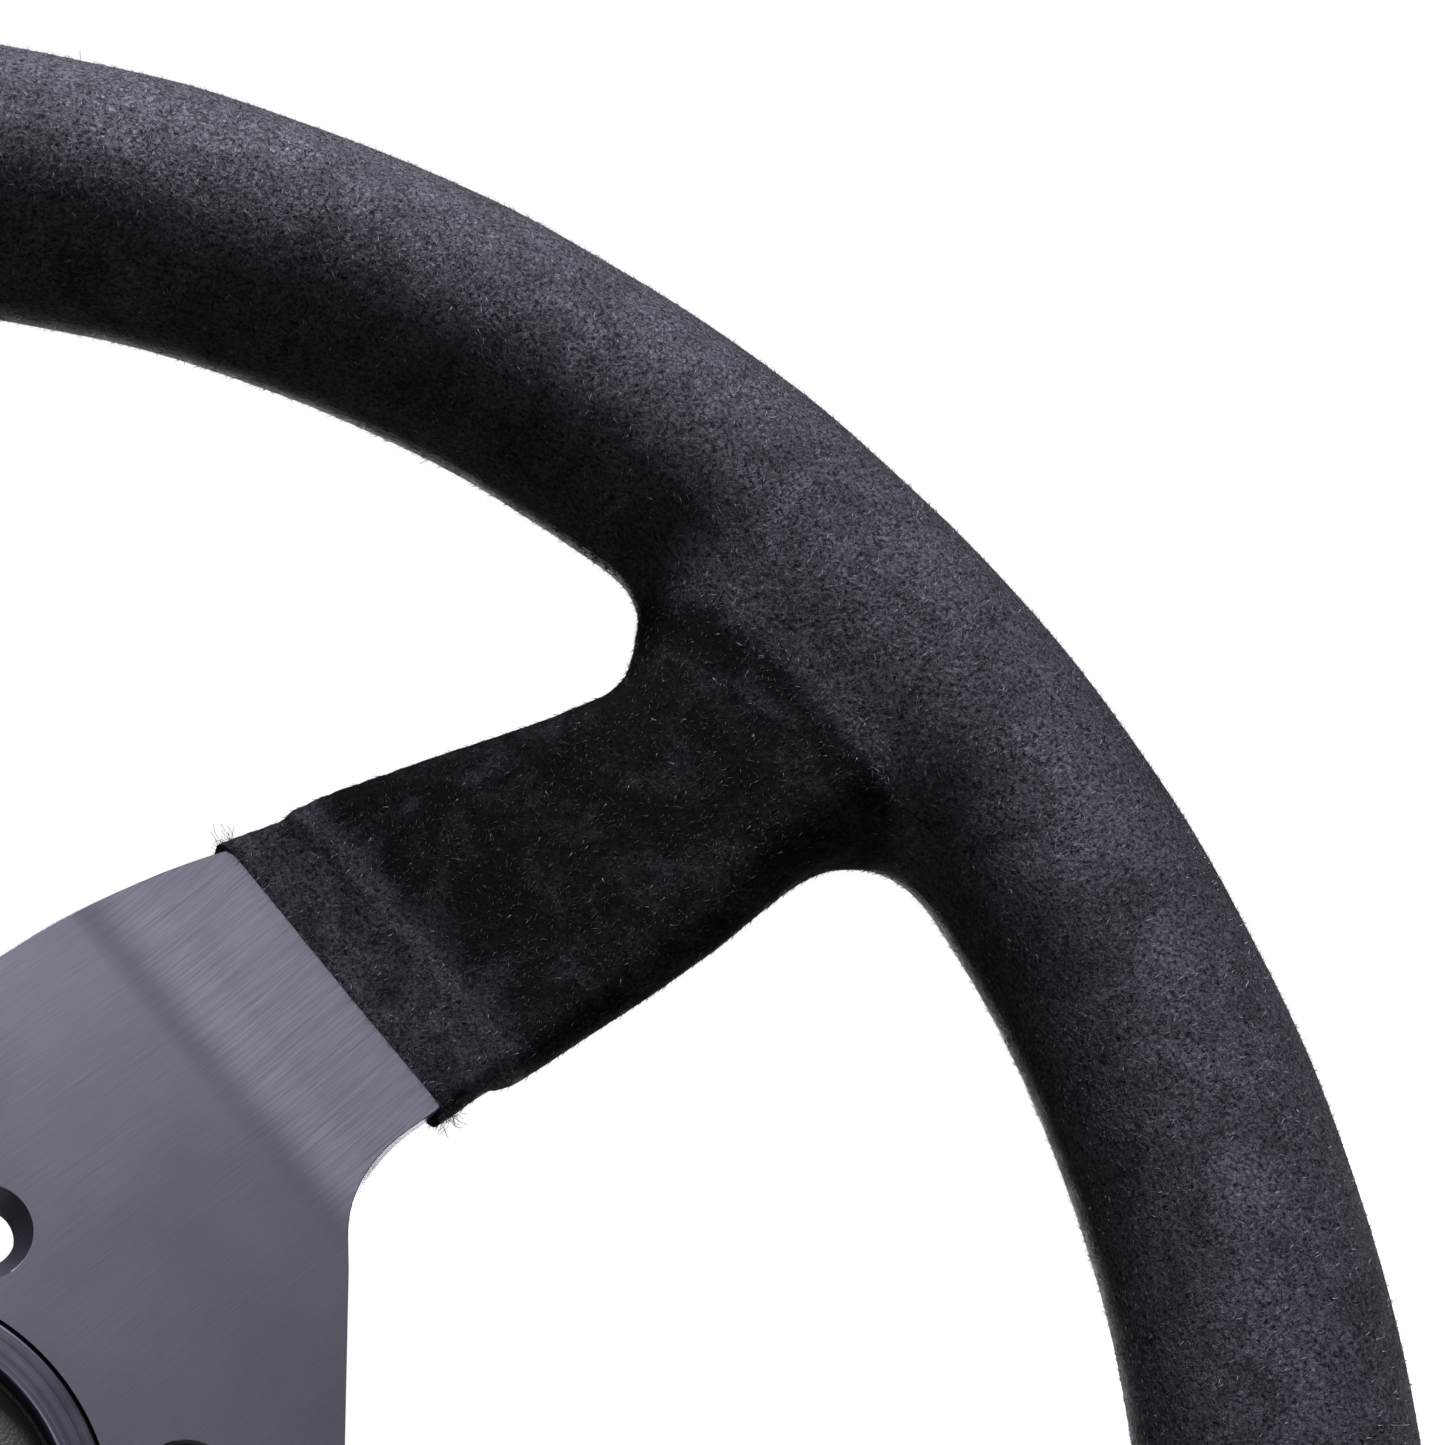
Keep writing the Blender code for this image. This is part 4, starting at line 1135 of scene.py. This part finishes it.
def make_collar(finish):
    """The release collar, its gripping lip cut with fine scallops for the fingers."""
    low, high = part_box("release_collar")
    lip_r, body_r, rear, front = high.x / MM, 29.0, high.y / MM, low.y / MM
    room_r, room_y, land_r, ramp_y, ramp_slope = 25.8, -25.0, 21.0, -16.5, 0.35
    groove_r = body_r - 0.4
    outline = [(land_r, room_y), (room_r, room_y), (room_r, front), (body_r - 0.5, front)]
    outline += [(body_r, front + 0.5), (body_r, -22.4), (groove_r, -22.1), (groove_r, -21.3)]
    outline += [(body_r, -21.0), (body_r, -14.4), (body_r + 0.7, -13.7)]
    outline += [(lip_r - 0.9, -12.1), (lip_r - 0.2, -11.3)]
    outline += [(lip_r, y) for y in (-10.9, -10.2, -9.4, -8.6, -7.8, -7.2)]
    outline += [(lip_r - 0.25, rear - 0.5), (lip_r - 0.8, rear)]
    rear_r = land_r + ramp_slope * (rear - ramp_y)
    outline += [(rear_r + 0.35, rear), (rear_r, rear - 0.3), (land_r, ramp_y)]
    radius, depth = np.array(outline).T
    steps, scallops, scallop_depth = 432, 36, 0.55
    turns = 2 * math.pi * np.arange(steps)[:, None] / steps
    wave = np.clip(np.cos(turns * scallops), 0, 1) ** 1.5
    gripped = np.clip((radius - (lip_r - 0.95)) / 0.7, 0, 1) * (depth > -12.5)
    points = about_axis((radius - scallop_depth * wave * gripped) * MM, depth * MM, turns)
    mesh = closed_mesh("collar", points, tube_faces(steps, len(outline), True))
    name = "release_collar_scalloped"
    collar = add_piece(name, mesh, finish, 32, "collar")
    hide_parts("release_collar")


def make_balls(finish):
    """The six lock balls, each on its own body."""
    for k in range(1, 7):
        low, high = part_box(f"lock_ball_{k}")
        bm = bmesh.new()
        bmesh.ops.create_uvsphere(bm, u_segments=48, v_segments=24, radius=BALL_R)
        bmesh.ops.translate(bm, verts=bm.verts, vec=(low + high) / 2)
        mesh = mesh_from(f"ball_{k}", bm)
        ball = add_piece(f"lock_ball_ground_{k}", mesh, finish, 60, f"ball_{k}")
        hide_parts(f"lock_ball_{k}")


def make_screws(finish):
    """Countersunk screws with hexagon sockets and a few turns of thread."""
    shank_r, groove, rise, key_r = 2.45, 0.35, 0.4, 1.73
    for k in range(1, 4):
        low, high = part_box(f"hub_screw_{k}")
        head, tip, head_r = low.y / MM, high.y / MM, (high.x - low.x) / 2 / MM
        cone_end = head + head_r - shank_r
        outline = [(0, head), (head_r - 0.35, head), (head_r - 0.12, head + 0.06)]
        outline += [(head_r, head + 0.22), (shank_r, cone_end)]
        for turn in range(int((tip - 0.8 - cone_end - 0.6) / (2 * rise))):
            y = cone_end + 0.6 + 2 * rise * turn
            outline += [(shank_r, y), (shank_r - groove, y + rise)]
        outline += [(shank_r, tip - 0.6), (shank_r - 0.5, tip), (0, tip)]
        mesh = turned("screw", outline, 48)
        screw = add_piece(f"hub_screw_threaded_{k}", mesh, finish, 0)
        socket = [(0, head - 1), (1.9, head - 1), (key_r, head + 0.15), (key_r, head + 2)]
        socket += [(0, head + 2.6)]
        cut_with(screw, turned("socket", socket, 6), [(0, 0, 0)])
        middle = (low + high) / 2
        for vert in screw.data.vertices:
            vert.co.x += middle.x
            vert.co.z += middle.z
        shade(screw.data, 35)
        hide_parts(f"hub_screw_{k}")


def finish_node(name, finish):
    """Keep a CAD node: give it its finish, softly rounded edges and smooth round faces."""
    node = nodes[name]
    node.data.materials.clear()
    node.data.materials.append(finish)
    node.data.polygons.foreach_set("material_index", [0] * len(node.data.polygons))
    node.modifiers.new("weld", "WELD").merge_threshold = 0.004 * MM
    add_bevel(node, 0.12, 2, 34)
    node.modifiers.new("normals", "WEIGHTED_NORMAL").weight = 80


# ---- camera and light

def add_area(name, place, target, width, height, power):
    """A soft box lamp that faces a point."""
    data = bpy.data.lights.new(name, "AREA")
    data.shape = "RECTANGLE"
    data.size, data.size_y, data.energy = width, height, power
    data.color = (0.97, 0.93, 1.0)
    lamp = linked(name, data)
    lamp.location = place
    lamp.rotation_mode = "QUATERNION"
    lamp.rotation_quaternion = (Vector(target) - Vector(place)).to_track_quat("-Z", "Y")


def make_camera():
    """The photo's view: close up, from in front of the wheel, rolled about 38 degrees."""
    eye = Vector((-40.6 * MM, RIM_Y - 281.4 * MM, -40.6 * MM))
    view = Vector((0.49447, 0.85552, 0.15355)).normalized()
    up = Vector((0.50668, -0.42724, 0.74883))
    right = view.cross(up).normalized()
    up = right.cross(view)
    camera = linked("camera", bpy.data.cameras.new("camera"))
    camera.matrix_world = Matrix.Translation(eye) @ Matrix((right, up, -view)).transposed().to_4x4()
    camera.data.lens = 72.7
    camera.data.sensor_width = 36
    camera.data.clip_start = 0.01
    bpy.context.scene.camera = camera
    return right, up, view


def make_world():
    """White to the camera, and a dim even fill for everything else."""
    world = bpy.data.worlds.new("studio")
    world.use_nodes = True
    tree = world.node_tree
    tree.nodes.clear()
    shown = add_node(tree, "ShaderNodeBackground", {"Color": grey(1.0), "Strength": 1.0})
    fill = add_node(tree, "ShaderNodeBackground", {"Color": (0.93, 0.95, 1.0, 1), "Strength": 0.05})
    show_camera(tree, "ShaderNodeOutputWorld", shown, fill)
    bpy.context.scene.world = world


def make_lights(right, up, view):
    """A large soft box up to the right of the camera, and gentle ones for the other sides."""
    subject = Vector((0.09, RIM_Y, 0.03))
    key = subject + (right * 0.04 + up * 0.985 - view * 0.13) * 0.8
    add_area("key", key, subject, 0.40, 0.40, 20)
    front = subject + (-right * 0.16 + up * 0.33 - view * 0.93) * 0.8
    add_area("front", front, subject, 0.56, 0.34, 1.5)
    add_area("rear", (0.55, 0.85, 0.12), (0, 0, 0), 0.5, 0.5, 7.0)


# ---- the whole wheel

def make_floor():
    """A plain pale floor under the wheel, bright to the camera and dim to everything else."""
    finish = bpy.data.materials.new("floor")
    finish.use_nodes = True
    tree = finish.node_tree
    tree.nodes.clear()
    glow = add_node(tree, "ShaderNodeEmission", {"Color": grey(1.0), "Strength": 1.0})
    matt = add_node(tree, "ShaderNodeBsdfDiffuse", {"Color": grey(0.2)})
    both = add_node(tree, "ShaderNodeAddShader", {0: glow.outputs[0], 1: matt.outputs[0]})
    show_camera(tree, "ShaderNodeOutputMaterial", both, matt)
    bm = bmesh.new()
    bmesh.ops.create_grid(bm, x_segments=1, y_segments=1, size=3.0)
    bmesh.ops.translate(bm, verts=bm.verts, vec=(0, 0, cad_box[0][2] - 1.5 * MM))
    floor = linked("floor", mesh_from("floor", bm))
    floor.data.materials.append(finish)


def main():
    """Build every piece, give every CAD node its finish, and light the scene."""
    suede = suede_finish()
    made = make_suede(suede)
    make_fibres(fibre_finishes())
    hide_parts("rim_cover")
    for piece, arm in zip(made[1:], ARMS):
        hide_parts(f"spoke_sleeve_{arm}")
    make_foam(moulded_finish("foam", 0.03, 0.8, 0.5, 0.04))
    make_seams(suede, thread_finish())
    make_hairs(fibre_finishes()[1])
    make_plate(plate_finish())
    bezel = turned_metal("bezel_anodised", (0.10, 0.09, 0.12, 1), (0.15, 0.135, 0.175, 1), 0.34)
    plastic = moulded_finish("black_plastic", 0.022, 0.55, 0.35, 0.05)
    make_horn_front(bezel, plastic)
    steel = turned_metal("steel", (0.42, 0.42, 0.44, 1), (0.58, 0.58, 0.60, 1), 0.24)
    black_steel = cast_metal("black_steel", (0.035, 0.035, 0.038, 1), (0.065, 0.065, 0.07, 1), 0.40)
    collar = turned_metal("collar_anodised", (0.060, 0.056, 0.068, 1), (0.095, 0.090, 0.105, 1), 0.30)
    hub = turned_metal("hub_anodised", (0.030, 0.030, 0.034, 1), (0.055, 0.055, 0.060, 1), 0.34)
    brass = cast_metal("brass", (0.62, 0.42, 0.14, 1), (0.74, 0.53, 0.22, 1), 0.28)
    core = cast_metal("core_aluminium", (0.50, 0.50, 0.52, 1), (0.66, 0.66, 0.68, 1), 0.42)
    rubber = moulded_finish("seal_rubber", 0.016, 0.60, 0.25, 0.02)
    make_springs(steel)
    make_collar(collar)
    make_balls(steel)
    make_screws(black_steel)
    kept = (core, plastic, brass, steel, hub, rubber, black_steel)
    finishes = {finish.name.split(".")[0]: finish for finish in kept}
    for name, node in nodes.items():
        if not node.hide_render:
            finish_node(name, finishes[node.data.materials[0].name.split(".")[0]])
    make_world()
    make_lights(*make_camera())
    make_floor()
    bpy.context.scene.view_settings.view_transform = "Standard"


main()
